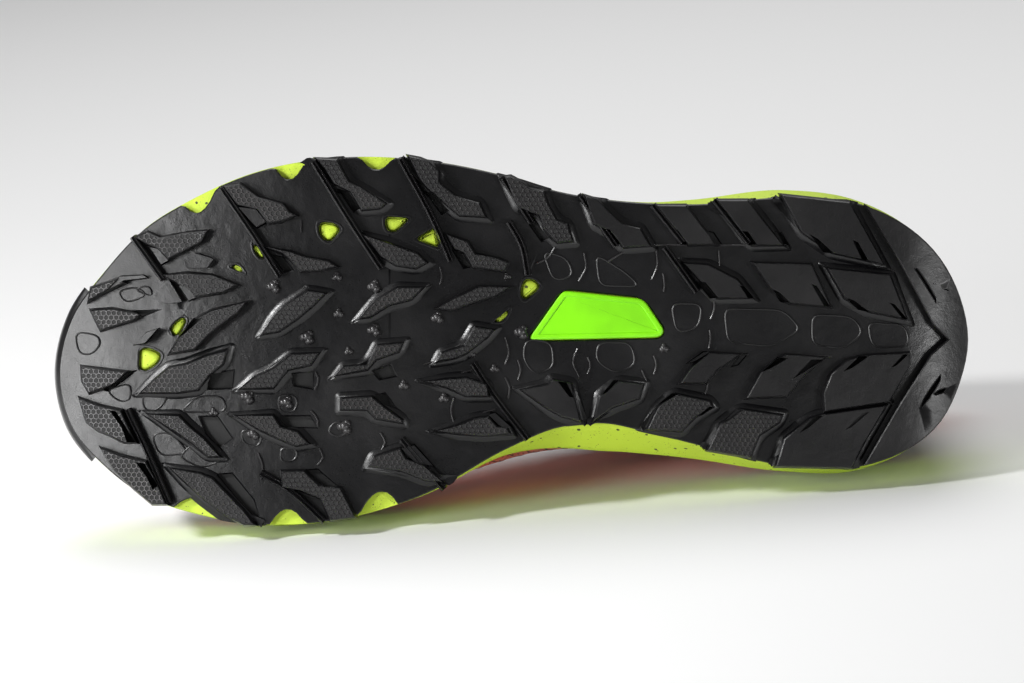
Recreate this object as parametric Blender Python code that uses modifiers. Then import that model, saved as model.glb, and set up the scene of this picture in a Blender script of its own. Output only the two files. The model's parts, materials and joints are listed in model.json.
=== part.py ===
"""Left trail running shoe, lying on its inner side with the tread facing front. Metres, +Z up."""

import math
from collections import namedtuple

import bmesh
import bpy
import numpy as np
from mathutils import Matrix, Vector

# Sizes of the last and the sole
LENGTH = 0.290
BALL_WIDTH = 0.117
WAIST_WIDTH = 0.071
HEEL_WIDTH = 0.085
TOE_SPRING = 0.018
HEEL_BEVEL = 0.006
HEEL_STACK = 0.039
WAIST_STACK = 0.035
BALL_STACK = 0.029
TOE_STACK = 0.026

# Sizes of the upper's edge
HEEL_HEIGHT = 0.104
ANKLE_HEIGHT = 0.080
INSTEP_HEIGHT = 0.103
VAMP_HEIGHT = 0.069
COLLAR_WIDTH = 0.066
THROAT_WIDTH = 0.032
UPPER_WALL = 0.0024

# Sizes of the sole's layers
LUG_HEIGHT = 0.0042
RUBBER_SHEET = 0.0022
LUG_ROOT = 0.0012
LUG_SETBACK = 0.0005
BUMPER_WALL = 0.0018
BUMPER_HEIGHT = 0.013
BUMPER_SHARE = 0.085
BUMPER_ROOT = 0.003
BUMPER_GAP = 0.0005
INSERT_THICKNESS = 0.0015
FEATHER_TUCK = 0.0030
FEATHER_MARGIN = 0.0020
LEDGE_SPARE = 0.0010
CUP_DEPTH = 0.0070
CUP_SLOPE = 0.0020
INSOLE_THICKNESS = 0.0045
SIDE_STEP = 0.0014
RIB_DEPTH = 0.0011

# Sizes of the pieces on the upper
OVERLAY_WALL = 0.0010
EYESTAY_WALL = 0.0013
TONGUE_THICKNESS = 0.0042
TONGUE_CROWN = 0.0028
TONGUE_REACH = 0.015
LACE_WIDTH = 0.0055
LACE_THICKNESS = 0.0016
LACE_LIFT = 0.0020
EYELET_RADIUS = 0.0021
LOOP_WIDTH = 0.014
LOOP_WALL = 0.0012
LOOP_BULGE = 0.0075
GAP = 0.0003

# How far in a ring closes a flat end, and how far a cutting solid stands past what it cuts
CLOSING_INSET = 0.010
CUT_SPARE = 0.002

# Points round the shoe and up its wall; each side takes half of the ring
RING = 72
WALL_ROWS = 10

# One row for each section of the outline: along from the heel, then the rubber's two edges as shares of
# the named width, then how far the foam stands past them as shares of the ball width.
Edge = namedtuple("Edge", "along outer inner width foam_outer foam_inner")
HEEL_TIP = Edge(0.000, -0.017, -0.017, HEEL_WIDTH, 0.008, 0.008)
EDGES = (
    Edge(0.010, 0.149, -0.182, HEEL_WIDTH, 0.008, 0.008),
    Edge(0.035, 0.301, -0.339, HEEL_WIDTH, 0.007, 0.007),
    Edge(0.075, 0.420, -0.439, HEEL_WIDTH, 0.009, 0.009),
    Edge(0.125, 0.493, -0.493, HEEL_WIDTH, 0.014, 0.014),
    Edge(0.200, 0.512, -0.487, HEEL_WIDTH, 0.025, 0.019),
    Edge(0.300, 0.487, -0.407, HEEL_WIDTH, 0.017, 0.043),
    Edge(0.350, 0.588, -0.435, WAIST_WIDTH, 0.006, 0.062),
    Edge(0.400, 0.606, -0.394, WAIST_WIDTH, 0.004, 0.078),
    Edge(0.450, 0.641, -0.414, WAIST_WIDTH, 0.004, 0.060),
    Edge(0.500, 0.426, -0.302, BALL_WIDTH, 0.004, 0.022),
    Edge(0.600, 0.474, -0.436, BALL_WIDTH, 0.004, 0.004),
    Edge(0.700, 0.478, -0.504, BALL_WIDTH, 0.004, 0.004),
    Edge(0.780, 0.440, -0.512, BALL_WIDTH, 0.006, 0.006),
    Edge(0.850, 0.368, -0.482, BALL_WIDTH, 0.006, 0.006),
    Edge(0.900, 0.295, -0.442, BALL_WIDTH, 0.006, 0.006),
    Edge(0.950, 0.168, -0.354, BALL_WIDTH, 0.007, 0.007),
    Edge(0.985, 0.050, -0.256, BALL_WIDTH, 0.008, 0.008),
)
TOE_TIP = Edge(1.000, -0.110, -0.110, BALL_WIDTH, 0.009, 0.009)

# The midsole's side, from its bottom edge to its top edge: height and how far out, both as shares.
# The groove row steps in and is cut by the side's step.
SidePoint = namedtuple("SidePoint", "height out step")
SIDE = (
    SidePoint(0.00, 0.00, 0.0),
    SidePoint(0.16, 0.45, 0.0),
    SidePoint(0.38, 1.00, 0.0),
    SidePoint(0.48, 1.00, 1.0),
    SidePoint(0.60, 1.00, 0.2),
    SidePoint(0.82, 1.00, 0.0),
)

# The wall of the upper, a row for each meridian from the heel (share 0) to the toe (share 1) of its side.
# along, across and height place the top edge; lean and pull shape the foot of the wall, drop and reach its top.
Meridian = namedtuple("Meridian", "share along across height lean pull drop reach")
HEEL_SEAM = Meridian(0.00, 0.022, 0.0, HEEL_HEIGHT, 7, 0.40, 116, 0.36)
OUTER_WALL = (
    Meridian(0.07, 0.034, 0.27 * COLLAR_WIDTH, 0.98 * HEEL_HEIGHT, 4, 0.40, 106, 0.36),
    Meridian(0.14, 0.085, 0.44 * COLLAR_WIDTH, 0.86 * HEEL_HEIGHT, -3, 0.38, 84, 0.36),
    Meridian(0.22, 0.150, 0.50 * COLLAR_WIDTH, ANKLE_HEIGHT, -6, 0.36, 76, 0.36),
    Meridian(0.31, 0.240, 0.51 * COLLAR_WIDTH, 1.05 * ANKLE_HEIGHT, -4, 0.36, 72, 0.38),
    Meridian(0.39, 0.315, 0.44 * COLLAR_WIDTH, 0.91 * INSTEP_HEIGHT, 2, 0.34, 60, 0.40),
    Meridian(0.44, 0.360, 0.66 * THROAT_WIDTH, INSTEP_HEIGHT, 2, 0.34, 50, 0.42),
    Meridian(0.52, 0.440, 0.56 * THROAT_WIDTH, 0.95 * INSTEP_HEIGHT, 4, 0.33, 42, 0.44),
    Meridian(0.61, 0.535, 0.50 * THROAT_WIDTH, 0.85 * INSTEP_HEIGHT, 8, 0.32, 36, 0.45),
    Meridian(0.70, 0.620, 0.46 * THROAT_WIDTH, 1.10 * VAMP_HEIGHT, 10, 0.30, 28, 0.45),
    Meridian(0.79, 0.668, 0.38 * THROAT_WIDTH, 1.02 * VAMP_HEIGHT, 12, 0.27, 20, 0.45),
    Meridian(0.88, 0.690, 0.26 * THROAT_WIDTH, 0.99 * VAMP_HEIGHT, 14, 0.23, 13, 0.45),
    Meridian(0.95, 0.699, 0.12 * THROAT_WIDTH, 0.98 * VAMP_HEIGHT, 15, 0.20, 10, 0.45),
)
INNER_WALL = (
    *OUTER_WALL[:2],
    Meridian(0.22, 0.150, 0.50 * COLLAR_WIDTH, 1.03 * ANKLE_HEIGHT, -6, 0.36, 76, 0.36),
    Meridian(0.31, 0.240, 0.52 * COLLAR_WIDTH, 1.09 * ANKLE_HEIGHT, 2, 0.36, 74, 0.38),
    Meridian(0.39, 0.315, 0.45 * COLLAR_WIDTH, 0.93 * INSTEP_HEIGHT, 20, 0.34, 62, 0.40),
    Meridian(0.44, 0.360, 0.66 * THROAT_WIDTH, INSTEP_HEIGHT, 26, 0.34, 52, 0.42),
    Meridian(0.52, 0.440, 0.56 * THROAT_WIDTH, 0.95 * INSTEP_HEIGHT, 26, 0.33, 46, 0.44),
    Meridian(0.61, 0.535, 0.50 * THROAT_WIDTH, 0.85 * INSTEP_HEIGHT, 14, 0.32, 42, 0.45),
    Meridian(0.70, 0.620, 0.46 * THROAT_WIDTH, 1.10 * VAMP_HEIGHT, 10, 0.30, 34, 0.45),
    Meridian(0.79, 0.668, 0.38 * THROAT_WIDTH, 1.02 * VAMP_HEIGHT, 12, 0.27, 24, 0.45),
    Meridian(0.88, 0.690, 0.26 * THROAT_WIDTH, 0.99 * VAMP_HEIGHT, 14, 0.23, 14, 0.45),
    OUTER_WALL[-1],
)
TOE_SEAM = Meridian(1.00, 0.702, 0.0, 0.98 * VAMP_HEIGHT, 15, 0.18, 8, 0.45)

# Tread lugs in rows of like blocks, from the toe back, by their corners in shares of length and ball width
LUG_ROWS = {
    "outer_edge": (
        ((0.913, 0.266), (0.900, 0.280), (0.885, 0.264), (0.833, 0.282), (0.839, 0.253), (0.876, 0.207)),
        ((0.814, 0.402), (0.797, 0.409), (0.735, 0.323), (0.766, 0.303), (0.777, 0.341), (0.799, 0.353)),
        ((0.713, 0.477), (0.690, 0.474), (0.677, 0.414), (0.637, 0.355), (0.663, 0.337), (0.693, 0.409)),
        ((0.612, 0.483), (0.588, 0.465), (0.562, 0.376), (0.528, 0.319), (0.557, 0.323), (0.591, 0.396)),
        ((0.507, 0.427), (0.465, 0.388), (0.433, 0.253), (0.450, 0.249), (0.469, 0.322), (0.492, 0.345)),
    ),
    "outer_inner": (
        ((0.882, 0.163), (0.855, 0.169), (0.828, 0.162), (0.800, 0.136), (0.815, 0.116), (0.847, 0.103)),
        ((0.770, 0.240), (0.725, 0.210), (0.700, 0.200), (0.690, 0.185), (0.730, 0.172), (0.750, 0.220)),
        ((0.663, 0.272), (0.602, 0.220), (0.592, 0.196), (0.604, 0.180), (0.626, 0.188), (0.642, 0.213)),
        ((0.571, 0.272), (0.548, 0.253), (0.539, 0.218), (0.504, 0.195), (0.508, 0.172), (0.542, 0.183)),
    ),
    "outer_arm": (
        ((0.875, -0.051), (0.843, 0.049), (0.827, 0.068), (0.789, 0.090), (0.799, 0.060), (0.847, -0.039)),
        ((0.773, 0.001), (0.748, 0.080), (0.722, 0.120), (0.703, 0.112), (0.735, 0.041), (0.754, 0.009)),
        ((0.666, 0.044), (0.647, 0.096), (0.625, 0.128), (0.596, 0.128), (0.609, 0.096), (0.634, 0.080)),
        ((0.582, 0.072), (0.564, 0.098), (0.535, 0.131), (0.501, 0.130), (0.518, 0.104), (0.565, 0.066)),
    ),
    "centre_arm": (
        ((0.907, -0.157), (0.875, -0.086), (0.811, -0.042), (0.815, -0.078), (0.843, -0.149), (0.866, -0.157)),
        ((0.797, -0.146), (0.740, -0.051), (0.710, -0.049), (0.719, -0.081), (0.744, -0.094), (0.760, -0.144)),
        ((0.692, -0.110), (0.683, -0.085), (0.657, -0.081), (0.646, -0.027), (0.619, -0.022), (0.657, -0.094)),
        ((0.581, -0.071), (0.576, -0.048), (0.551, -0.028), (0.540, 0.022), (0.520, 0.014), (0.550, -0.051)),
    ),
    "inner_arm": (
        ((0.900, -0.214), (0.864, -0.218), (0.836, -0.280), (0.818, -0.330), (0.832, -0.330), (0.850, -0.292)),
        ((0.802, -0.218), (0.760, -0.216), (0.752, -0.247), (0.733, -0.261), (0.721, -0.293), (0.735, -0.300)),
        ((0.686, -0.171), (0.652, -0.166), (0.619, -0.229), (0.648, -0.225), (0.657, -0.202), (0.686, -0.202)),
        ((0.595, -0.125), (0.550, -0.115), (0.527, -0.133), (0.525, -0.165), (0.550, -0.165), (0.570, -0.143)),
    ),
    "inner_edge": (
        ((0.875, -0.360), (0.827, -0.387), (0.792, -0.475), (0.780, -0.514), (0.792, -0.514), (0.837, -0.443)),
        ((0.726, -0.367), (0.686, -0.414), (0.670, -0.491), (0.697, -0.500), (0.708, -0.441), (0.750, -0.410)),
        ((0.655, -0.355), (0.650, -0.328), (0.621, -0.306), (0.575, -0.395), (0.594, -0.392), (0.621, -0.365)),
        ((0.583, -0.259), (0.540, -0.225), (0.525, -0.220), (0.515, -0.248), (0.502, -0.265), (0.530, -0.272)),
    ),
    "toe_fan": (
        ((0.966, 0.092), (0.963, 0.128), (0.929, 0.156), (0.925, 0.142)),
        ((0.963, 0.068), (0.939, 0.072), (0.907, 0.057), (0.914, 0.041), (0.952, 0.013)),
        ((0.971, -0.078), (0.942, -0.015), (0.901, 0.005), (0.914, -0.023), (0.961, -0.082)),
        ((0.974, -0.086), (0.923, -0.100), (0.936, -0.134), (0.965, -0.158), (0.973, -0.125)),
        ((0.976, -0.173), (0.929, -0.205), (0.912, -0.292), (0.926, -0.292), (0.955, -0.260), (0.968, -0.237)),
        ((0.952, -0.308), (0.929, -0.328), (0.901, -0.344), (0.878, -0.459), (0.894, -0.459), (0.936, -0.371)),
    ),
    "inner_waist": (
        ((0.340, -0.194), (0.322, -0.158), (0.284, -0.178), (0.280, -0.194), (0.315, -0.260), (0.352, -0.254)),
        ((0.286, -0.310), (0.273, -0.240), (0.250, -0.200), (0.205, -0.216), (0.230, -0.270), (0.240, -0.330)),
        ((0.212, -0.354), (0.203, -0.280), (0.176, -0.226), (0.162, -0.215), (0.092, -0.190), (0.130, -0.358)),
    ),
    "outer_waist": (
        ((0.420, 0.376), (0.380, 0.300), (0.360, 0.288), (0.349, 0.241), (0.378, 0.236), (0.410, 0.300)),
        ((0.342, 0.350), (0.310, 0.350), (0.276, 0.244), (0.307, 0.244)),
        ((0.276, 0.364), (0.243, 0.364), (0.204, 0.242), (0.238, 0.242)),
        ((0.206, 0.378), (0.132, 0.358), (0.094, 0.188), (0.151, 0.222), (0.184, 0.278)),
    ),
    "outer_heel": (
        ((0.312, 0.194), (0.286, 0.190), (0.254, 0.150), (0.238, 0.100), (0.276, 0.099)),
        ((0.237, 0.195), (0.173, 0.190), (0.152, 0.076), (0.198, 0.087), (0.216, 0.122)),
        ((0.156, 0.180), (0.088, 0.163), (0.069, 0.042), (0.112, 0.064), (0.137, 0.099)),
    ),
    "arch_notch": (
        ((0.490, -0.148), (0.460, -0.133), (0.455, -0.120), (0.435, -0.130), (0.425, -0.232), (0.445, -0.220)),
        ((0.404, -0.164), (0.383, -0.125), (0.356, -0.133), (0.361, -0.171), (0.390, -0.195), (0.411, -0.232)),
    ),
    "inner_heel": (
        ((0.316, -0.130), (0.304, -0.088), (0.284, -0.048), (0.251, -0.052), (0.276, -0.094), (0.289, -0.130)),
        ((0.244, -0.170), (0.228, -0.100), (0.202, -0.054), (0.158, -0.060), (0.180, -0.105), (0.200, -0.165)),
        ((0.152, -0.106), (0.136, -0.070), (0.067, -0.049), (0.066, -0.080), (0.089, -0.180), (0.159, -0.206)),
    ),
}
# Front edge of the heel's horseshoe, which has a chevron in it; its back follows the rubber's edge
HEEL_FRONT = ((0.116, 0.354), (0.077, 0.195), (0.024, -0.012), (0.077, -0.184), (0.116, -0.350))
HEEL_BACK_TURNS = (0.13, 0.10, 0.07, 0.035, 0.0, -0.035, -0.07, -0.10, -0.13)
HEEL_STRIPS = 3

# Openings in the rubber that show the foam, by their corners in shares of length and ball width
WINDOWS = {
    "toe_diamond": ((0.877, 0.138), (0.891, 0.100), (0.867, 0.092)),
    "toe_slot": ((0.860, 0.052), (0.853, 0.042), (0.866, -0.006), (0.878, 0.006)),
    "toe_shield": ((0.908, -0.035), (0.910, -0.090), (0.884, -0.056)),
    "upper_lozenge": ((0.855, 0.208), (0.845, 0.215), (0.831, 0.198), (0.853, 0.188)),
    "outer_sliver": ((0.779, 0.252), (0.768, 0.215), (0.772, 0.208), (0.783, 0.240)),
    "outer_shield": ((0.713, 0.304), (0.713, 0.252), (0.690, 0.288)),
    "outer_lozenge": ((0.637, 0.318), (0.614, 0.313), (0.624, 0.285), (0.637, 0.285)),
    "outer_arrow": ((0.604, 0.262), (0.582, 0.290), (0.582, 0.238)),
    "waist_drop": ((0.489, 0.148), (0.480, 0.150), (0.468, 0.130), (0.486, 0.098)),
}
# Notches bitten out of the rubber's edge: along at each end and how deep, as a share of the ball width
Notch = namedtuple("Notch", "start end depth")
OUTER_NOTCHES = (Notch(0.858, 0.825, 0.045), Notch(0.757, 0.727, 0.040), Notch(0.665, 0.630, 0.035))
INNER_NOTCHES = (Notch(0.862, 0.820, 0.045), Notch(0.761, 0.730, 0.040), Notch(0.663, 0.632, 0.050))
INSERT_CORNERS = ((0.480, -0.012), (0.444, 0.116), (0.355, 0.095), (0.335, 0.012), (0.341, -0.002))

# Parts of the wall that the overlays cover, in shares round a side and up the wall
TOE_CAP_SHARE = 0.80
TOE_CAP_TOP = 0.40
COUNTER_SHARE = 0.20
COUNTER_TOP = 0.60
EYESTAY_SHARE = 0.43
EYESTAY_FOOT = 0.80
OVERLAY_FOOT = 0.05
EYELET_LEVEL = 0.90
LACE_DRIFT = 0.14
CROWN_END = 0.77
CROWN_FADE = 0.07
EYELET_SHARES = (0.465, 0.525, 0.585, 0.645, 0.705, 0.765)

Finish = namedtuple("Finish", "colour roughness")
FINISHES = {
    "rubber": Finish((0.012, 0.012, 0.013), 0.42),
    "foam": Finish((0.52, 0.68, 0.04), 0.60),
    "insert": Finish((0.16, 0.62, 0.02), 0.35),
    "mesh_cloth": Finish((0.72, 0.08, 0.02), 0.80),
    "overlay": Finish((0.03, 0.03, 0.035), 0.50),
    "lining": Finish((0.04, 0.04, 0.045), 0.90),
    "lace": Finish((0.02, 0.02, 0.022), 0.80),
}


def place(along, across, up):
    """The shoe's own frame: toe at -X, outer side at -Y, sole down. Along is a share, the rest metres."""
    return Vector((LENGTH * (0.5 - along), -across, up))


def smooth_curve(keys, values, at, period=None):
    """A cubic curve through rows of values at rising keys, read at each number in `at`."""
    keys = np.asarray(keys, float)
    values = np.asarray(values, float)
    if period:
        keys = np.concatenate([keys[-2:] - period, keys, keys[:2] + period])
        values = np.concatenate([values[-2:], values, values[:2]])
        at = np.mod(at, period)
    at = np.atleast_1d(np.asarray(at, float))
    slopes = np.gradient(values, keys, axis=0)
    span = np.clip(np.searchsorted(keys, at, side="right") - 1, 0, len(keys) - 2)
    width = keys[span + 1] - keys[span]
    t = ((at - keys[span]) / width)[:, None]
    width = width[:, None]
    return (
        (2 * t**3 - 3 * t**2 + 1) * values[span]
        + (t**3 - 2 * t**2 + t) * width * slopes[span]
        + (3 * t**2 - 2 * t**3) * values[span + 1]
        + (t**3 - t**2) * width * slopes[span + 1]
    )


def outline_curve():
    """The rubber's edge as a fine closed line from the heel tip over the outer side: points, foam, middle index."""
    rows = [(HEEL_TIP.along, HEEL_TIP.outer * HEEL_TIP.width, HEEL_TIP.foam_outer)]
    rows += [(e.along, e.outer * e.width, e.foam_outer) for e in EDGES]
    rows += [(TOE_TIP.along, TOE_TIP.outer * TOE_TIP.width, TOE_TIP.foam_outer)]
    rows += [(e.along, e.inner * e.width, e.foam_inner) for e in reversed(EDGES)]
    points = np.array([(row[0] * LENGTH, row[1], row[2] * BALL_WIDTH) for row in rows])
    steps = np.linalg.norm(np.roll(points, -1, axis=0)[:, :2] - points[:, :2], axis=1)
    keys = np.concatenate([[0], np.cumsum(steps)[:-1]])
    perimeter = steps.sum()
    fine = np.linspace(0, perimeter, 1200, endpoint=False)
    toe_key = keys[len(EDGES) + 1]
    return smooth_curve(keys, points, fine, perimeter), int(np.searchsorted(fine, toe_key))


FINE, FINE_TOE = outline_curve()


def side_line(outer):
    """One side's fine line from the heel tip to the toe tip, with its running share of length."""
    if outer:
        line = FINE[: FINE_TOE + 1]
    else:
        line = np.concatenate([FINE[:1], FINE[: FINE_TOE - 1 : -1]])
    steps = np.linalg.norm(np.diff(line[:, :2], axis=0), axis=1)
    run = np.concatenate([[0], np.cumsum(steps)])
    return run / run[-1], line


SIDES = {True: side_line(True), False: side_line(False)}


def rim(turn):
    """Edge of the rubber at a turn from 0 (heel) by 1 (toe) to 2: point, outward direction, foam's overhang."""
    turn = turn % 2
    outer = turn <= 1
    run, line = SIDES[outer]
    share = turn if outer else 2 - turn
    step = 0.004
    sample = np.clip([share - step, share, share + step], 0, 1)
    x, y, foam = (np.interp(sample, run, line[:, i]) for i in range(3))
    tangent = np.array([x[2] - x[0], y[2] - y[0]])
    outward = np.array([-tangent[1], tangent[0]]) if outer else np.array([tangent[1], -tangent[0]])
    if share < step:
        outward = np.array([-1.0, 0.0])
    if share > 1 - step:
        outward = np.array([1.0, 0.0])
    return np.array([x[1], y[1]]), outward / np.linalg.norm(outward), foam[1]


def edge_at(along, outer):
    """How far across the rubber's edge lies at a share of the length."""
    line = SIDES[outer][1]
    return float(np.interp(along * LENGTH, line[:, 0], line[:, 1]))


def ground(along):
    """Height of the lugs' tips over the floor line: flat in the middle, up at heel and toe."""
    toe = max(0.0, (along - 0.62) / 0.38)
    heel = max(0.0, (0.08 - along) / 0.08)
    return TOE_SPRING * toe**2 + HEEL_BEVEL * heel**2


def stack(along):
    """Height of the foam's top edge over the lugs' tips."""
    keys = (-0.1, 0.0, 0.22, 0.45, 0.70, 0.85, 1.0, 1.1)
    heights = (HEEL_STACK, HEEL_STACK, HEEL_STACK, WAIST_STACK, BALL_STACK, TOE_STACK, TOE_STACK, TOE_STACK)
    return float(smooth_curve(keys, np.array(heights)[:, None], along)[0, 0])


def sheet_top(along):
    """Height of the rubber sheet's upper face."""
    return ground(along) + LUG_HEIGHT + RUBBER_SHEET


def foam_top(along):
    """Height of the foam's top edge."""
    return ground(along) + stack(along)


def turns():
    """The turn of each point of a ring: half of them on each side."""
    return [2 * k / RING for k in range(RING)]


def sole_ring(out, foam_share, height):
    """A ring round the sole: metres past the rubber's edge, share of the foam's overhang, height by share along."""
    ring = []
    for turn in turns():
        point, outward, foam = rim(turn)
        x, y = point + outward * (out + foam * foam_share)
        ring.append(place(x / LENGTH, y, height(x / LENGTH)))
    return ring


def new_object(name, mesh, finish):
    """A sub-part in the shoe's collection, with its own material."""
    obj = bpy.data.objects.new(name, mesh)
    colour, roughness = FINISHES[finish]
    material = bpy.data.materials.new(name)
    material.use_nodes = True
    shader = material.node_tree.nodes["Principled BSDF"]
    shader.inputs["Base Color"].default_value = (*colour, 1)
    shader.inputs["Roughness"].default_value = roughness
    mesh.materials.append(material)
    SHOE.objects.link(obj)
    obj.parent = FRAME
    mesh.shade_smooth()
    mesh.set_sharp_from_angle(angle=math.radians(35))
    return obj


def cutter(name, mesh):
    """A helper solid that cuts or joins, kept out of the render."""
    obj = bpy.data.objects.new(name, mesh)
    CUTTERS.objects.link(obj)
    obj.hide_render = True
    obj.display_type = "WIRE"
    obj.parent = FRAME
    return obj


def mesh_from(name, build):
    """A mesh filled by a function of a bmesh, with its faces turned outward."""
    bm = bmesh.new()
    build(bm)
    bmesh.ops.recalc_face_normals(bm, faces=bm.faces)
    mesh = bpy.data.meshes.new(name)
    bm.to_mesh(mesh)
    bm.free()
    return mesh


def add_rings(bm, rings):
    """A closed body from rings stacked in order; both ends are closed by strips from side to side."""
    loops = [[bm.verts.new(point) for point in ring] for ring in rings]
    count = len(rings[0])
    for lower, upper in zip(loops, loops[1:]):
        for k in range(count):
            n = (k + 1) % count
            bm.faces.new((lower[k], lower[n], upper[n], upper[k]))
    for loop in (loops[0], loops[-1]):
        for k in range(count // 2):
            corners = (loop[k], loop[k + 1], loop[(count - k - 1) % count], loop[(count - k) % count])
            bm.faces.new(list(dict.fromkeys(corners)))
    bmesh.ops.triangulate(bm, faces=bm.faces, quad_method="SHORT_EDGE")


def add_prism(bm, corners, low, high):
    """A block over corners in the sole's plan, between two heights that follow the length."""
    bottom = [bm.verts.new(place(x, y, low(x))) for x, y in corners]
    top = [bm.verts.new(place(x, y, high(x))) for x, y in corners]
    bm.faces.new(bottom)
    bm.faces.new(top)
    for k in range(len(corners)):
        n = (k + 1) % len(corners)
        bm.faces.new((bottom[k], bottom[n], top[n], top[k]))


def grown(corners, by):
    """Corners of a convex plan shape moved out by a distance, in share along and metres across."""
    points = [Vector((x * LENGTH, y)) for x, y in corners]
    centre = sum(points, Vector((0, 0))) / len(points)
    moved = []
    for k, point in enumerate(points):
        before = (point - points[k - 1]).normalized()
        after = (points[(k + 1) % len(points)] - point).normalized()
        normals = [Vector((d.y, -d.x)) for d in (before, after)]
        normals = [n if n.dot(point - centre) > 0 else -n for n in normals]
        middle = (normals[0] + normals[1]).normalized()
        moved.append(point + middle * by / max(0.35, middle.dot(normals[0])))
    return [(p.x / LENGTH, p.y) for p in moved]


def within_edge(corners):
    """Corners in metres across, kept within the rubber's edge."""
    kept = []
    for along, across in in_metres(corners):
        low, high = edge_at(along, False) + LUG_SETBACK, edge_at(along, True) - LUG_SETBACK
        kept.append((along, min(max(across, low), high)))
    return kept


def add_horseshoe(bm, low, high):
    """The horseshoe round the heel, in strips from its front to just within the rubber's edge."""
    corners = within_edge(HEEL_FRONT)
    front = [corners[0]]
    for first, second in zip(corners, corners[1:]):
        front += [tuple((a + b) / 2 for a, b in zip(first, second)), second]
    back = []
    for turn in HEEL_BACK_TURNS:
        point, outward, _ = rim(turn)
        x, y = point - outward * LUG_SETBACK
        back.append((x / LENGTH, y))
    front, back = np.array(front), np.array(back)
    plan = [front + (back - front) * step / HEEL_STRIPS for step in range(HEEL_STRIPS + 1)]
    rows = [[bm.verts.new(place(x, y, low(x))) for x, y in line] for line in plan]
    rows += [[bm.verts.new(place(x, y, high(x))) for x, y in line] for line in reversed(plan)]
    for first, second in zip(rows, rows[1:] + rows[:1]):
        for k in range(len(front) - 1):
            bm.faces.new((first[k], first[k + 1], second[k + 1], second[k]))
    for k in (0, -1):
        for step in range(HEEL_STRIPS):
            bm.faces.new([row[k] for row in (rows[step], rows[step + 1], rows[-step - 2], rows[-step - 1])])


def in_metres(corners):
    """Window corners from shares of the ball width to metres across."""
    return [(x, y * BALL_WIDTH) for x, y in corners]


def build_outsole():
    """Rubber sheet, lugs and toe bumper in one body, with the windows, notches and insert pocket cut out."""

    def root(along):
        return ground(along) + LUG_HEIGHT

    def joint(along):
        return root(along) + LUG_ROOT

    rings = [
        sole_ring(-CLOSING_INSET, 0, root),
        sole_ring(0, 0, root),
        sole_ring(0, 0, sheet_top),
        sole_ring(-CLOSING_INSET, 0, sheet_top),
    ]
    sheet = new_object("outsole", mesh_from("outsole", lambda bm: add_rings(bm, rings)), "rubber")

    def lugs(bm):
        for row in LUG_ROWS.values():
            for corners in row:
                add_prism(bm, within_edge(corners), ground, joint)
        add_horseshoe(bm, ground, joint)

    def bumper(bm):
        foot = lambda along: root(along) + GAP
        shares = [turn + 1 / RING for turn in turns_between(1 - BUMPER_SHARE, 1 + BUMPER_SHARE)][:-1]
        inner_low, outer_low, outer_high, inner_high = [], [], [], []
        for turn in shares:
            point, outward, foam = rim(turn)
            fade = math.cos(0.45 * math.pi * (turn - 1) / BUMPER_SHARE)
            for loop, out, up in (
                (inner_low, -BUMPER_ROOT, foot),
                (outer_low, foam + BUMPER_GAP + BUMPER_WALL, foot),
                (outer_high, foam + BUMPER_GAP + BUMPER_WALL, None),
                (inner_high, foam + BUMPER_GAP, None),
            ):
                x, y = point + outward * out
                along = x / LENGTH
                height = up(along) if up else joint(along) + BUMPER_HEIGHT * fade
                loop.append(bm.verts.new(place(along, y, height)))
        inner_mid = [bm.verts.new(v.co) for v in inner_low]
        for vert, turn in zip(inner_mid, shares):
            point, outward, foam = rim(turn)
            x, y = point + outward * -BUMPER_ROOT
            vert.co = place(x / LENGTH, y, joint(x / LENGTH))
        knee = []
        for turn in shares:
            point, outward, foam = rim(turn)
            x, y = point + outward * (foam + BUMPER_GAP)
            knee.append(bm.verts.new(place(x / LENGTH, y, joint(x / LENGTH))))
        loops = (inner_low, outer_low, outer_high, inner_high, knee, inner_mid)
        for first, second in zip(loops, loops[1:] + loops[:1]):
            for k in range(len(shares) - 1):
                bm.faces.new((first[k], first[k + 1], second[k + 1], second[k]))
        for k in (0, -1):
            bm.faces.new([loop[k] for loop in loops])

    def cuts(bm):
        below = lambda along: root(along) - CUT_SPARE
        above = lambda along: sheet_top(along) + CUT_SPARE
        for corners in WINDOWS.values():
            add_prism(bm, in_metres(corners), below, above)
        for notches, outer in ((OUTER_NOTCHES, True), (INNER_NOTCHES, False)):
            sign = 1 if outer else -1
            for notch in notches:
                middle = (notch.start + notch.end) / 2
                depth = sign * notch.depth * BALL_WIDTH
                corners = [
                    (notch.start, edge_at(notch.start, outer) + sign * CUT_SPARE / 2),
                    (middle, edge_at(middle, outer) - depth),
                    (notch.end, edge_at(notch.end, outer) + sign * CUT_SPARE / 2),
                    (middle, edge_at(middle, outer) + sign * 3 * CUT_SPARE),
                ]
                add_prism(bm, corners, below, above)
        add_prism(bm, grown(in_metres(INSERT_CORNERS), GAP), below, above)

    for name, build, operation in (
        ("lug_blocks", lugs, "UNION"),
        ("toe_bumper", bumper, "UNION"),
        ("tread_cuts", cuts, "DIFFERENCE"),
    ):
        boolean = sheet.modifiers.new(name, "BOOLEAN")
        boolean.operation = operation
        boolean.object = cutter(name, mesh_from(name, build))
        boolean.solver = "EXACT"
        boolean.use_self = operation == "UNION"
        boolean.use_hole_tolerant = True
    return sheet


def build_insert():
    """The bright plate that fills its pocket at the waist."""
    low = lambda along: ground(along) + LUG_HEIGHT + RUBBER_SHEET - INSERT_THICKNESS
    build = lambda bm: add_prism(bm, in_metres(INSERT_CORNERS), low, sheet_top)
    return new_object("sole_insert", mesh_from("sole_insert", build), "insert")


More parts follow.
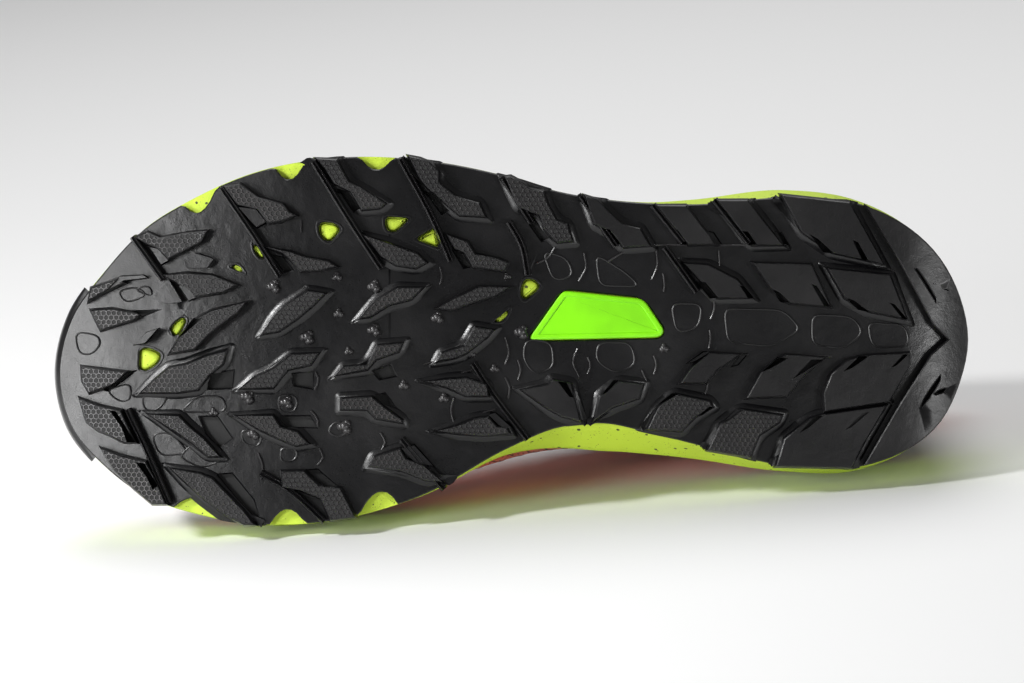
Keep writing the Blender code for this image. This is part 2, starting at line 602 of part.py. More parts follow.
def build_midsole():
    """Foam with the sole's outline, a stepped and ribbed side, a ledge for the upper and a hollow footbed."""
    base = lambda along: sheet_top(along) + GAP
    rings = [sole_ring(-CLOSING_INSET, 0, base)]
    for number, point in enumerate(SIDE):
        height = lambda along, p=point: base(along) + p.height * (foam_top(along) - base(along))
        ring = sole_ring(-SIDE_STEP * point.step, point.out, height)
        if point.step == 0 and 0.3 < point.height < 0.9:
            for k in range(0, RING, 2):
                _, outward, _ = rim(2 * k / RING)
                ring[k] = ring[k] - Vector((-outward[0], -outward[1], 0)) * RIB_DEPTH
        rings.append(ring)
    ledge = FEATHER_TUCK + FEATHER_MARGIN + UPPER_WALL + LEDGE_SPARE
    footbed = lambda along: foam_top(along) - CUP_DEPTH
    rings += [
        sole_ring(-FEATHER_TUCK, 1, foam_top),
        sole_ring(-ledge, 1, foam_top),
        sole_ring(-ledge - CUP_SLOPE, 1, footbed),
        sole_ring(-ledge - CUP_SLOPE - CLOSING_INSET, 1, footbed),
    ]
    return new_object("midsole", mesh_from("midsole", lambda bm: add_rings(bm, rings)), "foam")


def build_insole():
    """A loose footbed in the foam's hollow."""
    inset = FEATHER_TUCK + FEATHER_MARGIN + UPPER_WALL + LEDGE_SPARE + CUP_SLOPE + GAP
    low = lambda along: foam_top(along) - CUP_DEPTH + GAP
    high = lambda along: low(along) + INSOLE_THICKNESS
    rings = [
        sole_ring(-inset - CLOSING_INSET, 1, low),
        sole_ring(-inset, 1, low),
        sole_ring(-inset, 1, high),
        sole_ring(-inset - CLOSING_INSET, 1, high),
    ]
    return new_object("insole", mesh_from("insole", lambda bm: add_rings(bm, rings)), "lining")


def wall_values(turn):
    """The meridian's numbers at a turn, smooth all the way round the shoe."""
    rows = [HEEL_SEAM, *OUTER_WALL, TOE_SEAM]
    rows += [row._replace(share=2 - row.share, across=-row.across) for row in reversed(INNER_WALL)]
    table = np.array([row[1:] for row in rows])
    return smooth_curve([row.share for row in rows], table, turn, 2.0)[0]


def wall_point(turn, level):
    """A point on the upper's outer face: turn round the shoe, level from the sole (0) to the top edge (1)."""
    along, across, height, lean, pull, drop, reach = wall_values(turn)
    point, outward, foam = rim(turn)
    foot = point + outward * (foam - FEATHER_TUCK - FEATHER_MARGIN)
    foot = np.array([foot[0], foot[1], foam_top(foot[0] / LENGTH) + GAP])
    edge = np.array([along * LENGTH, across, height])
    span = np.linalg.norm(edge - foot)
    out = np.array([outward[0], outward[1], 0.0])
    up = np.array([0.0, 0.0, 1.0])
    lean, drop = math.radians(lean), math.radians(drop)
    low = foot + span * pull * (up * math.cos(lean) + out * math.sin(lean))
    high = edge + span * reach * (out * math.cos(drop) - up * math.sin(drop))
    weights = ((1 - level) ** 3, 3 * level * (1 - level) ** 2, 3 * level**2 * (1 - level), level**3)
    x, y, z = sum(w * p for w, p in zip(weights, (foot, low, high, edge)))
    return place(x / LENGTH, y, z)


def wall_offset(turn, level, distance):
    """A point at a distance outside the upper's outer face."""
    step = 0.004
    low, high = max(0.0, level - step), min(1.0, level + step)
    round_shoe = wall_point(turn + step, level) - wall_point(turn - step, level)
    up_wall = wall_point(turn, high) - wall_point(turn, low)
    normal = up_wall.cross(round_shoe).normalized()
    return wall_point(turn, level) + normal * distance


def wall_sheet(name, finish, wall, offset, columns, levels, closed=False):
    """An open sheet over part of the upper's face, thickened by its wall: outward, or inward for the upper."""

    def build(bm):
        grid = [[bm.verts.new(wall_offset(turn, v, offset)) for v in levels(turn)] for turn in columns]
        pairs = list(zip(grid, grid[1:] + grid[:1] if closed else grid[1:]))
        for first, second in pairs:
            for j in range(len(first) - 1):
                bm.faces.new((first[j], first[j + 1], second[j + 1], second[j]))

    bm = bmesh.new()
    build(bm)
    mesh = bpy.data.meshes.new(name)
    bm.to_mesh(mesh)
    bm.free()
    obj = new_object(name, mesh, finish)
    shell = obj.modifiers.new("wall", "SOLIDIFY")
    shell.thickness = abs(wall)
    shell.offset = 1 if wall > 0 else -1
    shell.use_even_offset = False
    return obj


def build_upper():
    """The hollow upper: one wall from the ledge to the collar and throat."""
    levels = lambda turn: np.linspace(0, 1, WALL_ROWS + 1)
    return wall_sheet("upper", "mesh_cloth", -UPPER_WALL, 0, turns(), levels, True)


def turns_between(start, end):
    """Turns of the upper's own ring from start to end, so that an overlay's facets follow the wall's."""
    step = 2 / RING
    return [k * step for k in range(math.ceil(start / step - 0.01), math.floor(end / step + 0.01) + 1)]


def levels_between(foot, top):
    """Levels of an overlay, on the upper's own rows apart from the first and the last."""
    rows = [row / WALL_ROWS for row in range(1, WALL_ROWS) if foot + 0.02 < row / WALL_ROWS < top - 0.02]
    return lambda turn: [foot, *rows, top]


def build_toe_cap():
    """The guard round the toe."""
    columns = turns_between(TOE_CAP_SHARE, 2 - TOE_CAP_SHARE)
    levels = levels_between(OVERLAY_FOOT, TOE_CAP_TOP)
    return wall_sheet("toe_cap", "overlay", OVERLAY_WALL, GAP, columns, levels)


def build_heel_counter():
    """The stiff cup round the heel."""
    columns = turns_between(-COUNTER_SHARE, COUNTER_SHARE)
    levels = levels_between(OVERLAY_FOOT, COUNTER_TOP)
    return wall_sheet("heel_counter", "overlay", OVERLAY_WALL, GAP, columns, levels)


def build_eyestay():
    """The band along the throat, with its punched eyelets."""
    columns = turns_between(EYESTAY_SHARE, 2 - EYESTAY_SHARE)
    levels = levels_between(EYESTAY_FOOT, 1.0)
    eyestay = wall_sheet("eyestay", "overlay", EYESTAY_WALL, GAP, columns, levels)

    def holes(bm):
        for share in EYELET_SHARES:
            for turn in (share, 2 - share):
                low = wall_offset(turn, EYELET_LEVEL, -CUT_SPARE)
                high = wall_offset(turn, EYELET_LEVEL, 2 * CUT_SPARE)
                turned = (high - low).to_track_quat("Z", "Y").to_matrix().to_4x4()
                bmesh.ops.create_cone(
                    bm,
                    cap_ends=True,
                    segments=8,
                    radius1=EYELET_RADIUS,
                    radius2=EYELET_RADIUS,
                    depth=(high - low).length,
                    matrix=Matrix.Translation((low + high) / 2) @ turned,
                )

    punch = eyestay.modifiers.new("eyelets", "BOOLEAN")
    punch.operation = "DIFFERENCE"
    punch.object = cutter("eyelet_punch", mesh_from("eyelet_punch", holes))
    return eyestay


def throat_middle(share):
    """Middle of the tongue's face between the two edges of the throat."""
    depth = UPPER_WALL + GAP
    edges = [wall_offset(turn, 1.0, -depth) for turn in (share, 2 - share)]
    rise = TONGUE_CROWN * min(1.0, max(-1.0, (CROWN_END - share) / CROWN_FADE))
    return (edges[0] + edges[1]) / 2 + Vector((0, 0, rise))


def build_tongue():
    """A padded flap under the throat, held by the vamp and standing past the top eyelets."""
    depth = UPPER_WALL + 3 * GAP
    rows = []
    end = ((0.86, 0.74), (0.90, 0.80), (0.95, 0.86))
    left = [wall_offset(turn, level, -depth) for turn, level in end]
    right = [wall_offset(2 - turn, level, -depth) for turn, level in end]
    rows.append(left + [wall_offset(1.0, 0.89, -depth)] + right[::-1])
    for share in np.linspace(0.84, 0.46, 10):
        left = [wall_offset(share, level, -depth) for level in (0.80, 0.90, 1.0)]
        right = [wall_offset(2 - share, level, -depth) for level in (0.80, 0.90, 1.0)]
        rows.append(left + [throat_middle(share)] + right[::-1])
    step = (rows[-1][3] - rows[-2][3]).normalized() * TONGUE_REACH
    top = rows[-1]
    for part, squeeze in ((0.45, 0.12), (1.0, 0.24)):
        rows.append([point.lerp(top[3], squeeze) + step * part for point in top])

    bm = bmesh.new()
    grid = [[bm.verts.new(point) for point in row] for row in rows]
    for first, second in zip(grid, grid[1:]):
        for j in range(len(first) - 1):
            bm.faces.new((first[j], second[j], second[j + 1], first[j + 1]))
    mesh = bpy.data.meshes.new("tongue")
    bm.to_mesh(mesh)
    bm.free()
    tongue = new_object("tongue", mesh, "lining")
    shell = tongue.modifiers.new("padding", "SOLIDIFY")
    shell.thickness = TONGUE_THICKNESS
    shell.offset = -1
    shell.use_even_offset = False
    return tongue


def lace_bar(bm, points):
    """A flat lace along points, wider than thick, lying with its face up."""
    sections = []
    for k, point in enumerate(points):
        before, after = points[max(0, k - 1)], points[min(len(points) - 1, k + 1)]
        run = (after - before).normalized()
        side = run.cross(Vector((0, 0, 1))).normalized()
        face = side.cross(run).normalized()
        corners = ((-1, -1), (1, -1), (1, 1), (-1, 1))
        half = (side * LACE_WIDTH / 2, face * LACE_THICKNESS / 2)
        sections.append([bm.verts.new(point + half[0] * a + half[1] * b) for a, b in corners])
    for first, second in zip(sections, sections[1:]):
        for j in range(4):
            n = (j + 1) % 4
            bm.faces.new((first[j], first[n], second[n], second[j]))
    bm.faces.new(sections[0])
    bm.faces.new(sections[-1])


def build_laces():
    """The crossings over the tongue in one joined body; the ends stop at the top eyelets."""
    lift = GAP + EYESTAY_WALL + LACE_LIFT + LACE_THICKNESS / 2

    def bar(start, end):
        first = wall_offset(start, EYELET_LEVEL, lift)
        last = wall_offset(end, EYELET_LEVEL, lift)
        near = wall_offset(start + LACE_DRIFT * (2 - end - start), 1.0, lift)
        far = wall_offset(end + LACE_DRIFT * (2 - start - end), 1.0, lift)
        share = (min(start, 2 - start) + min(end, 2 - end)) / 2
        middle = throat_middle(share)
        middle.z = max(middle.z + LACE_LIFT + LACE_THICKNESS, (near.z + far.z) / 2)
        return [first, near, middle, far, last]

    bars = [bar(EYELET_SHARES[-1], 2 - EYELET_SHARES[-1])]
    for low, high in zip(EYELET_SHARES, EYELET_SHARES[1:]):
        bars += [bar(low, 2 - high), bar(high, 2 - low)]

    first = mesh_from("laces", lambda bm: lace_bar(bm, bars[0]))
    laces = new_object("laces", first, "lace")

    def rest(bm):
        for points in bars[1:]:
            lace_bar(bm, points)

    joined = laces.modifiers.new("crossings", "BOOLEAN")
    joined.operation = "UNION"
    joined.object = cutter("lace_bars", mesh_from("lace_bars", rest))
    joined.use_self = True
    return laces


def build_pull_loop():
    """A webbing loop at the heel tab."""
    low = wall_offset(0.0, 0.72, 2 * GAP)
    high = wall_offset(0.0, 0.985, 2 * GAP)
    back = Vector((1, 0, 0))
    points = []
    for k in range(9):
        angle = math.pi * k / 8
        chord = low.lerp(high, (1 - math.cos(angle)) / 2)
        points.append(chord + back * LOOP_BULGE * math.sin(angle))
    bm = bmesh.new()
    rows = []
    for point in points:
        rows.append([bm.verts.new(point + Vector((0, LOOP_WIDTH / 2 * side, 0))) for side in (-1, 1)])
    for first, second in zip(rows, rows[1:]):
        bm.faces.new((first[0], second[0], second[1], first[1]))
    mesh = bpy.data.meshes.new("pull_loop")
    bm.to_mesh(mesh)
    bm.free()
    loop = new_object("pull_loop", mesh, "lace")
    webbing = loop.modifiers.new("webbing", "SOLIDIFY")
    webbing.thickness = LOOP_WALL
    webbing.offset = 1
    return loop


def shoe_points():
    """Every corner of the finished solids in the shoe's own frame."""
    graph = bpy.context.evaluated_depsgraph_get()
    points = []
    for obj in SHOE.objects:
        if obj.type == "MESH":
            mesh = obj.evaluated_get(graph).to_mesh()
            points += [v.co.copy() for v in mesh.vertices]
    return points


def lay_on_inner_side():
    """Turn the shoe on to the three points that its inner side rests on, tread to the front."""
    points = shoe_points()
    bm = bmesh.new()
    for point in points:
        bm.verts.new(point)
    bmesh.ops.convex_hull(bm, input=bm.verts)
    bm.normal_update()
    inner = [face for face in bm.faces if face.normal.y > 0.8]
    rest = max(inner, key=lambda face: face.calc_area())
    down = rest.normal.copy()
    bm.free()
    up = -down
    back = (Vector((0, 0, 1)) - up * up.z).normalized()
    turned = Matrix((back.cross(up), back, up)).to_4x4()
    laid = [turned @ point for point in points]
    low = Vector([min(p[i] for p in laid) for i in range(3)])
    high = Vector([max(p[i] for p in laid) for i in range(3)])
    middle = Vector(((low.x + high.x) / 2, (low.y + high.y) / 2, low.z))
    FRAME.matrix_world = Matrix.Translation(-middle) @ turned


for old in list(bpy.data.objects):
    bpy.data.objects.remove(old)
SHOE = bpy.data.collections.new("trail_running_shoe")
CUTTERS = bpy.data.collections.new("cutters")
bpy.context.scene.collection.children.link(SHOE)
bpy.context.scene.collection.children.link(CUTTERS)
FRAME = bpy.data.objects.new("shoe_frame", None)
SHOE.objects.link(FRAME)

build_outsole()
build_insert()
build_midsole()
build_insole()
build_upper()
build_toe_cap()
build_heel_counter()
build_eyestay()
build_tongue()
build_laces()
build_pull_loop()
bpy.context.view_layer.update()
lay_on_inner_side()
bpy.context.view_layer.update()
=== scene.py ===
"""Looks of a left trail running shoe that lies on its inner side: tread, foam, upper, laces and studio."""
import json
import logging
import math
from dataclasses import dataclass, field
from enum import Enum
from typing import Callable, Iterable, NamedTuple, Sequence, Union

import bmesh
import bpy
import numpy as np
from mathutils import Matrix, Vector
from mathutils.geometry import delaunay_2d_cdt


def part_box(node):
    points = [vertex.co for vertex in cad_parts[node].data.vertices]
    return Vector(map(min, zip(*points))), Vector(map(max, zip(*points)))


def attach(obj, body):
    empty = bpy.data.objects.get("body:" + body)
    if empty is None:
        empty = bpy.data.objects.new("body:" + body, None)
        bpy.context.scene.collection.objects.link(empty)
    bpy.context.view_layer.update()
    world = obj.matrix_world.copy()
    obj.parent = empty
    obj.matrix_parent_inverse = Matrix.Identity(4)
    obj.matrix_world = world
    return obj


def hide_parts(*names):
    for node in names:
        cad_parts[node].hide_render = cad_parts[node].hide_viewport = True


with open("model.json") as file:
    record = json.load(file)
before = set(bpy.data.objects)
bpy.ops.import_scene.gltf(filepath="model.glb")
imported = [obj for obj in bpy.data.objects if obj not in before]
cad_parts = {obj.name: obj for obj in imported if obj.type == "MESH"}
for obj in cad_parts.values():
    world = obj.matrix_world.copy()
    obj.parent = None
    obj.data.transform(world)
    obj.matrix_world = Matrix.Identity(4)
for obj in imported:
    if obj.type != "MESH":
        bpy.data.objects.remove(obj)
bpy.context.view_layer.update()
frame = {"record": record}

LOG = logging.getLogger("shoe")
PERCENT = 0.01
# The cosine at which an outline's corner is held short when the outline is moved
SHARPEST = 0.5
# The smallest divisor where two directions of a line may cancel out
TINY = 1e-9
# A soft part lies flat on the floor and doesn't dip under it
FLOOR_LEVEL = 0.00005
Plan = Sequence[tuple[float, float]]


class Side(Enum):
    """The two sides of a left shoe."""

    OUTER = 1
    INNER = -1


class Top(Enum):
    """How the ground face of a tread block is finished."""

    PLAIN = 0
    CELLS = 1
    # Lighter block rubber: dust on the tops, and partly painted light against the darker sheet
    WORN_AND_LIT = 2


class Edge(NamedTuple):
    """A section of the outline: shares of the length and of the named width, and the foam's overhang."""

    along: float
    outer: float
    inner: float
    width: float
    foam_outer: float
    foam_inner: float


class Meridian(NamedTuple):
    """A section of the upper's wall: where it stands round the shoe, where its top edge is, how it bows."""

    share: float
    along: float
    across: float
    height: float
    lean: float
    pull: float
    drop: float
    reach: float


def unit(vectors: np.ndarray, least: float = 0.0) -> np.ndarray:
    """Return vectors with their length made 1, or divided by least where they are shorter."""
    return vectors / np.maximum(np.linalg.norm(vectors, axis=-1, keepdims=True), least)


def turned_left(vectors: np.ndarray) -> np.ndarray:
    """Return rows of two numbers turned by a quarter to the left."""
    return np.stack([-vectors[:, 1], vectors[:, 0]], axis=-1)


def run_length(points: np.ndarray) -> np.ndarray:
    """Return how far along a line each of its points lies."""
    return np.concatenate([[0], np.cumsum(np.linalg.norm(np.diff(points, axis=0), axis=1))])


def all_turns(count: int) -> np.ndarray:
    """Return evenly spaced turns once round the shoe, from 0 to just under 2."""
    return np.arange(count) * 2 / count


def smooth_curve(keys: Sequence[float], values: np.ndarray, at: np.ndarray, period: float = 0.0) -> np.ndarray:
    """Read a cubic curve through rows of values.

    Args:
        keys: Rising keys of the rows.
        values: One row for each key.
        at: Where to read the curve.
        period: Length after which the curve repeats, or 0 for an open one.

    Returns:
        A row for each number in at.
    """
    keys = np.asarray(keys, float)
    values = np.asarray(values, float)
    at = np.atleast_1d(np.asarray(at, float))
    if period:
        keys = np.concatenate([keys[-2:] - period, keys, keys[:2] + period])
        values = np.concatenate([values[-2:], values, values[:2]])
        at = np.mod(at, period)
    slopes = np.gradient(values, keys, axis=0)
    span = np.clip(np.searchsorted(keys, at, side="right") - 1, 0, len(keys) - 2)
    width = keys[span + 1] - keys[span]
    t = ((at - keys[span]) / width)[:, None]
    width = width[:, None]
    start = (2 * t**3 - 3 * t**2 + 1) * values[span] + (t**3 - 2 * t**2 + t) * width * slopes[span]
    end = (3 * t**2 - 2 * t**3) * values[span + 1] + (t**3 - t**2) * width * slopes[span + 1]
    return start + end


@dataclass
class Last:
    """The shoe's form in its own frame: toe at -X, outer side at -Y, sole down; and how that frame lies."""

    length: float = 0.290
    ball: float = 0.117
    waist: float = 0.071
    heel: float = 0.085
    toe_spring: float = 0.018
    heel_bevel: float = 0.006
    heel_stack: float = 0.039
    waist_stack: float = 0.035
    ball_stack: float = 0.029
    toe_stack: float = 0.026
    heel_height: float = 0.104
    ankle_height: float = 0.080
    instep_height: float = 0.103
    vamp_height: float = 0.069
    collar: float = 0.066
    throat: float = 0.032
    upper_wall: float = 0.0024
    lug_height: float = 0.0042
    rubber: float = 0.0022
    feather: float = 0.0050
    gap: float = 0.0003
    turned: float = math.radians(4.93)
    level_start: float = 0.08
    level_end: float = 0.62
    outline_points: int = 1200
    insole_points: int = 72
    sample_step: float = 0.004
    sides: dict = field(default_factory=dict)
    matrix: np.ndarray = field(default_factory=lambda: np.eye(4))

    def __post_init__(self) -> None:
        """Work out the outline, the wall's table and the way the shoe lies."""
        self.edges = (
            Edge(0.010, 0.149, -0.182, self.heel, 0.008, 0.008),
            Edge(0.035, 0.301, -0.339, self.heel, 0.007, 0.007),
            Edge(0.075, 0.420, -0.439, self.heel, 0.009, 0.009),
            Edge(0.125, 0.493, -0.493, self.heel, 0.014, 0.014),
            Edge(0.200, 0.512, -0.487, self.heel, 0.025, 0.019),
            Edge(0.300, 0.487, -0.407, self.heel, 0.017, 0.043),
            Edge(0.350, 0.588, -0.435, self.waist, 0.006, 0.062),
            Edge(0.400, 0.606, -0.394, self.waist, 0.004, 0.078),
            Edge(0.450, 0.641, -0.414, self.waist, 0.004, 0.060),
            Edge(0.500, 0.426, -0.302, self.ball, 0.004, 0.022),
            Edge(0.600, 0.474, -0.436, self.ball, 0.004, 0.004),
            Edge(0.700, 0.478, -0.504, self.ball, 0.004, 0.004),
            Edge(0.780, 0.440, -0.512, self.ball, 0.006, 0.006),
            Edge(0.850, 0.368, -0.482, self.ball, 0.006, 0.006),
            Edge(0.900, 0.295, -0.442, self.ball, 0.006, 0.006),
            Edge(0.950, 0.168, -0.354, self.ball, 0.007, 0.007),
            Edge(0.985, 0.050, -0.256, self.ball, 0.008, 0.008),
        )
        self.heel_tip = Edge(0.000, -0.017, -0.017, self.heel, 0.008, 0.008)
        self.toe_tip = Edge(1.000, -0.110, -0.110, self.ball, 0.009, 0.009)
        self.wall_rows = self._meridians()
        self._trace_outline()
        self._lie()

    def _meridians(self) -> list[Meridian]:
        """Return the wall's sections from the heel over the outer side and back on the inner side."""
        throat, collar = self.throat, self.collar
        vamp, instep, ankle = self.vamp_height, self.instep_height, self.ankle_height
        outer = (
            Meridian(0.07, 0.034, 0.27 * collar, 0.98 * self.heel_height, 4, 0.40, 106, 0.36),
            Meridian(0.14, 0.085, 0.44 * collar, 0.86 * self.heel_height, -3, 0.38, 84, 0.36),
            Meridian(0.22, 0.150, 0.50 * collar, ankle, -6, 0.36, 76, 0.36),
            Meridian(0.31, 0.240, 0.51 * collar, 1.05 * ankle, -4, 0.36, 72, 0.38),
            Meridian(0.39, 0.315, 0.44 * collar, 0.91 * instep, 2, 0.34, 60, 0.40),
            Meridian(0.44, 0.360, 0.66 * throat, instep, 2, 0.34, 50, 0.42),
            Meridian(0.52, 0.440, 0.56 * throat, 0.95 * instep, 4, 0.33, 42, 0.44),
            Meridian(0.61, 0.535, 0.50 * throat, 0.85 * instep, 8, 0.32, 36, 0.45),
            Meridian(0.70, 0.620, 0.46 * throat, 1.10 * vamp, 10, 0.30, 28, 0.45),
            Meridian(0.79, 0.668, 0.38 * throat, 1.02 * vamp, 12, 0.27, 20, 0.45),
            Meridian(0.88, 0.690, 0.26 * throat, 0.99 * vamp, 14, 0.23, 13, 0.45),
            Meridian(0.95, 0.699, 0.12 * throat, 0.98 * vamp, 15, 0.20, 10, 0.45),
        )
        # Where the inner side differs from the outer one, by share
        differs = {
            0.22: {"height": 1.03 * ankle},
            0.31: {"across": 0.52 * collar, "height": 1.09 * ankle, "lean": 2, "drop": 74},
            0.39: {"across": 0.45 * collar, "height": 0.93 * instep, "lean": 20, "drop": 62},
            0.44: {"lean": 26, "drop": 52},
            0.52: {"lean": 26, "drop": 46},
            0.61: {"lean": 14, "drop": 42},
            0.70: {"drop": 34},
            0.79: {"drop": 24},
            0.88: {"drop": 14},
        }
        inner = [row._replace(**differs.get(row.share, {})) for row in outer]
        heel = Meridian(0.00, 0.022, 0.0, self.heel_height, 7, 0.40, 116, 0.36)
        toe = Meridian(1.00, 0.702, 0.0, 0.98 * vamp, 15, 0.18, 8, 0.45)
        back = [row._replace(share=2 - row.share, across=-row.across) for row in reversed(inner)]
        return [heel, *outer, toe, *back]

    def _trace_outline(self) -> None:
        """Run a fine line round the rubber's edge and split it into the two sides."""
        rows = [(self.heel_tip.along, self.heel_tip.outer * self.heel, self.heel_tip.foam_outer)]
        rows += [(e.along, e.outer * e.width, e.foam_outer) for e in self.edges]
        rows += [(self.toe_tip.along, self.toe_tip.outer * self.ball, self.toe_tip.foam_outer)]
        rows += [(e.along, e.inner * e.width, e.foam_inner) for e in reversed(self.edges)]
        points = np.array([(x * self.length, y, foam * self.ball) for x, y, foam in rows])
        steps = np.linalg.norm(np.roll(points, -1, axis=0)[:, :2] - points[:, :2], axis=1)
        keys = np.concatenate([[0], np.cumsum(steps)[:-1]])
        perimeter = steps.sum()
        at = np.linspace(0, perimeter, self.outline_points, endpoint=False)
        fine = smooth_curve(keys, points, at, perimeter)
        toe = int(np.searchsorted(at, keys[len(self.edges) + 1]))
        self.outline = fine[:, :2]
        lines = {Side.OUTER: fine[: toe + 1], Side.INNER: np.concatenate([fine[:1], fine[: toe - 1 : -1]])}
        for side, line in lines.items():
            run = run_length(line[:, :2])
            self.sides[side] = (run / run[-1], line)

    def _lie(self) -> None:
        """Turn the shoe's frame into the row's: its up axis from the tread mount, its place from the insole."""
        down = Vector(frame["record"]["mounts"][0]["axis"]).normalized()
        lean = math.atan2(down.y, -down.z)
        spin = Matrix.Rotation(lean, 4, "X") @ Matrix.Rotation(self.turned, 4, "Z")
        self.matrix = np.array(spin)
        rings = Insole.rings(self, self.insole_points)
        low = self.to_row(np.concatenate(rings)).min(axis=0)
        self.matrix[:3, 3] = np.array(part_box("insole")[0]) - low

    def to_row(self, points: np.ndarray) -> np.ndarray:
        """Return points of the shoe's own frame in the row frame."""
        points = np.asarray(points, float)
        return points @ self.matrix[:3, :3].T + self.matrix[:3, 3]

    def place(self, along: np.ndarray, across: np.ndarray, up: np.ndarray) -> np.ndarray:
        """Return points from a share of the length and two distances in metres."""
        along, across, up = np.broadcast_arrays(along, across, up)
        return np.stack([self.length * (0.5 - along), -across, up], axis=-1)

    def rim(self, turns: Union[float, np.ndarray]) -> tuple[np.ndarray, np.ndarray, np.ndarray]:
        """Read the rubber's edge.

        Args:
            turns: Turns round the shoe, 0 at the heel, 1 at the toe, up to 2.

        Returns:
            Points, outward directions and the foam's overhang, in the sole's plan.
        """
        turns = np.atleast_1d(np.asarray(turns, float)) % 2
        outer = turns <= 1
        share = np.where(outer, turns, 2 - turns)
        step = self.sample_step
        sample = np.clip(np.stack([share - step, share, share + step]), 0, 1)
        read = {}
        for side, (run, line) in self.sides.items():
            read[side] = np.stack([np.interp(sample, run, line[:, i]) for i in range(3)], axis=-1)
        value = np.where(outer[None, :, None], read[Side.OUTER], read[Side.INNER])
        tangent = value[2, :, :2] - value[0, :, :2]
        outward = turned_left(tangent) * np.where(outer, 1, -1)[:, None]
        outward[share < step] = (-1, 0)
        outward[share > 1 - step] = (1, 0)
        return value[1, :, :2], unit(outward), value[1, :, 2]

    def edge_at(self, along: float, side: Side) -> float:
        """Return how far across the rubber's edge lies at a share of the length."""
        line = self.sides[side][1]
        return float(np.interp(along * self.length, line[:, 0], line[:, 1]))

    def ground(self, along: np.ndarray) -> np.ndarray:
        """Return the height of the lugs' tips."""
        along = np.asarray(along, float)
        toe = np.maximum(0, (along - self.level_end) / (1 - self.level_end))
        heel = np.maximum(0, (self.level_start - along) / self.level_start)
        return self.toe_spring * toe**2 + self.heel_bevel * heel**2

    def sheet_top(self, along: np.ndarray) -> np.ndarray:
        """Return the height of the rubber's upper face."""
        return self.ground(along) + self.lug_height + self.rubber

    def foam_top(self, along: np.ndarray) -> np.ndarray:
        """Return the height of the foam's top edge."""
        along = np.asarray(along, float)
        keys = (-0.1, 0.0, 0.22, 0.45, 0.70, 0.85, 1.0, 1.1)
        stack = (self.heel_stack,) * 3 + (self.waist_stack, self.ball_stack) + (self.toe_stack,) * 3
        above = smooth_curve(keys, np.array(stack)[:, None], along.ravel())[:, 0]
        return self.ground(along) + above.reshape(along.shape)

    def ring(self, turns: np.ndarray, out: np.ndarray, share: float, height: Callable) -> np.ndarray:
        """Return a ring round the sole, out by a distance and a share of the foam's overhang."""
        point, outward, foam = self.rim(turns)
        plan = point + outward * (out + foam * share)[:, None]
        along = plan[:, 0] / self.length
        return self.place(along, plan[:, 1], height(along))

    def _bare_wall(self, turns: np.ndarray, levels: np.ndarray) -> np.ndarray:
        """Return points on the upper's outer face."""
        table = np.array([row[1:] for row in self.wall_rows])
        rows = smooth_curve([row.share for row in self.wall_rows], table, turns, 2.0)
        along, across, height, lean, pull, drop, reach = rows.T
        point, outward, foam = self.rim(turns)
        plan = point + outward * (foam - self.feather)[:, None]
        foot = np.column_stack([plan, self.foam_top(plan[:, 0] / self.length) + self.gap])
        edge = np.column_stack([along * self.length, across, height])
        span = np.linalg.norm(edge - foot, axis=1)[:, None]
        out = np.column_stack([outward, np.zeros(len(turns))])
        up = np.array([0.0, 0.0, 1.0])
        lean, drop = np.radians(lean)[:, None], np.radians(drop)[:, None]
        low = foot + span * pull[:, None] * (up * np.cos(lean) + out * np.sin(lean))
        high = edge + span * reach[:, None] * (out * np.cos(drop) - up * np.sin(drop))
        t = levels[..., None]
        x, y, z = np.moveaxis(
            (1 - t) ** 3 * foot[:, None]
            + 3 * t * (1 - t) ** 2 * low[:, None]
            + 3 * t**2 * (1 - t) * high[:, None]
            + t**3 * edge[:, None],
            -1,
            0,
        )
        return self.place(x / self.length, y, z)

    def wall(self, turns: np.ndarray, levels: np.ndarray, distance: Union[float, np.ndarray]) -> np.ndarray:
        """Return a grid on the upper's face.

        Args:
            turns: Turns round the shoe.
            levels: Levels up the wall, one row for all turns or a row for each.
            distance: How far outside the face, one number or a grid of them.

        Returns:
            Points by turn and level, in the shoe's own frame.
        """
        turns = np.atleast_1d(np.asarray(turns, float))
        levels = np.broadcast_to(np.asarray(levels, float), (len(turns), np.shape(levels)[-1]))
        step = self.sample_step
        around = self._bare_wall(turns + step, levels) - self._bare_wall(turns - step, levels)
        higher = self._bare_wall(turns, np.minimum(levels + step, 1))
        up = higher - self._bare_wall(turns, np.maximum(levels - step, 0))
        normal = unit(np.cross(up, around))
        return self._bare_wall(turns, levels) + normal * np.asarray(distance)[..., None]

    def spot(self, turn: float, level: float, distance: float = 0.0) -> Vector:
        """Return one point at a distance outside the upper's face."""
        return Vector(self.wall(np.array([turn]), np.array([level]), distance)[0, 0])


def operator(operation: str, turned: bool = False) -> Callable:
    """Return a method that adds one Math node; turned puts the method's own value last."""

    def method(self: "Socket", *others: Union["Socket", float]) -> "Socket":
        """Return the node's result."""
        values = (*others, self) if turned else (self, *others)
        return self.graph.node("ShaderNodeMath", {"operation": operation}, dict(enumerate(values)))

    return method


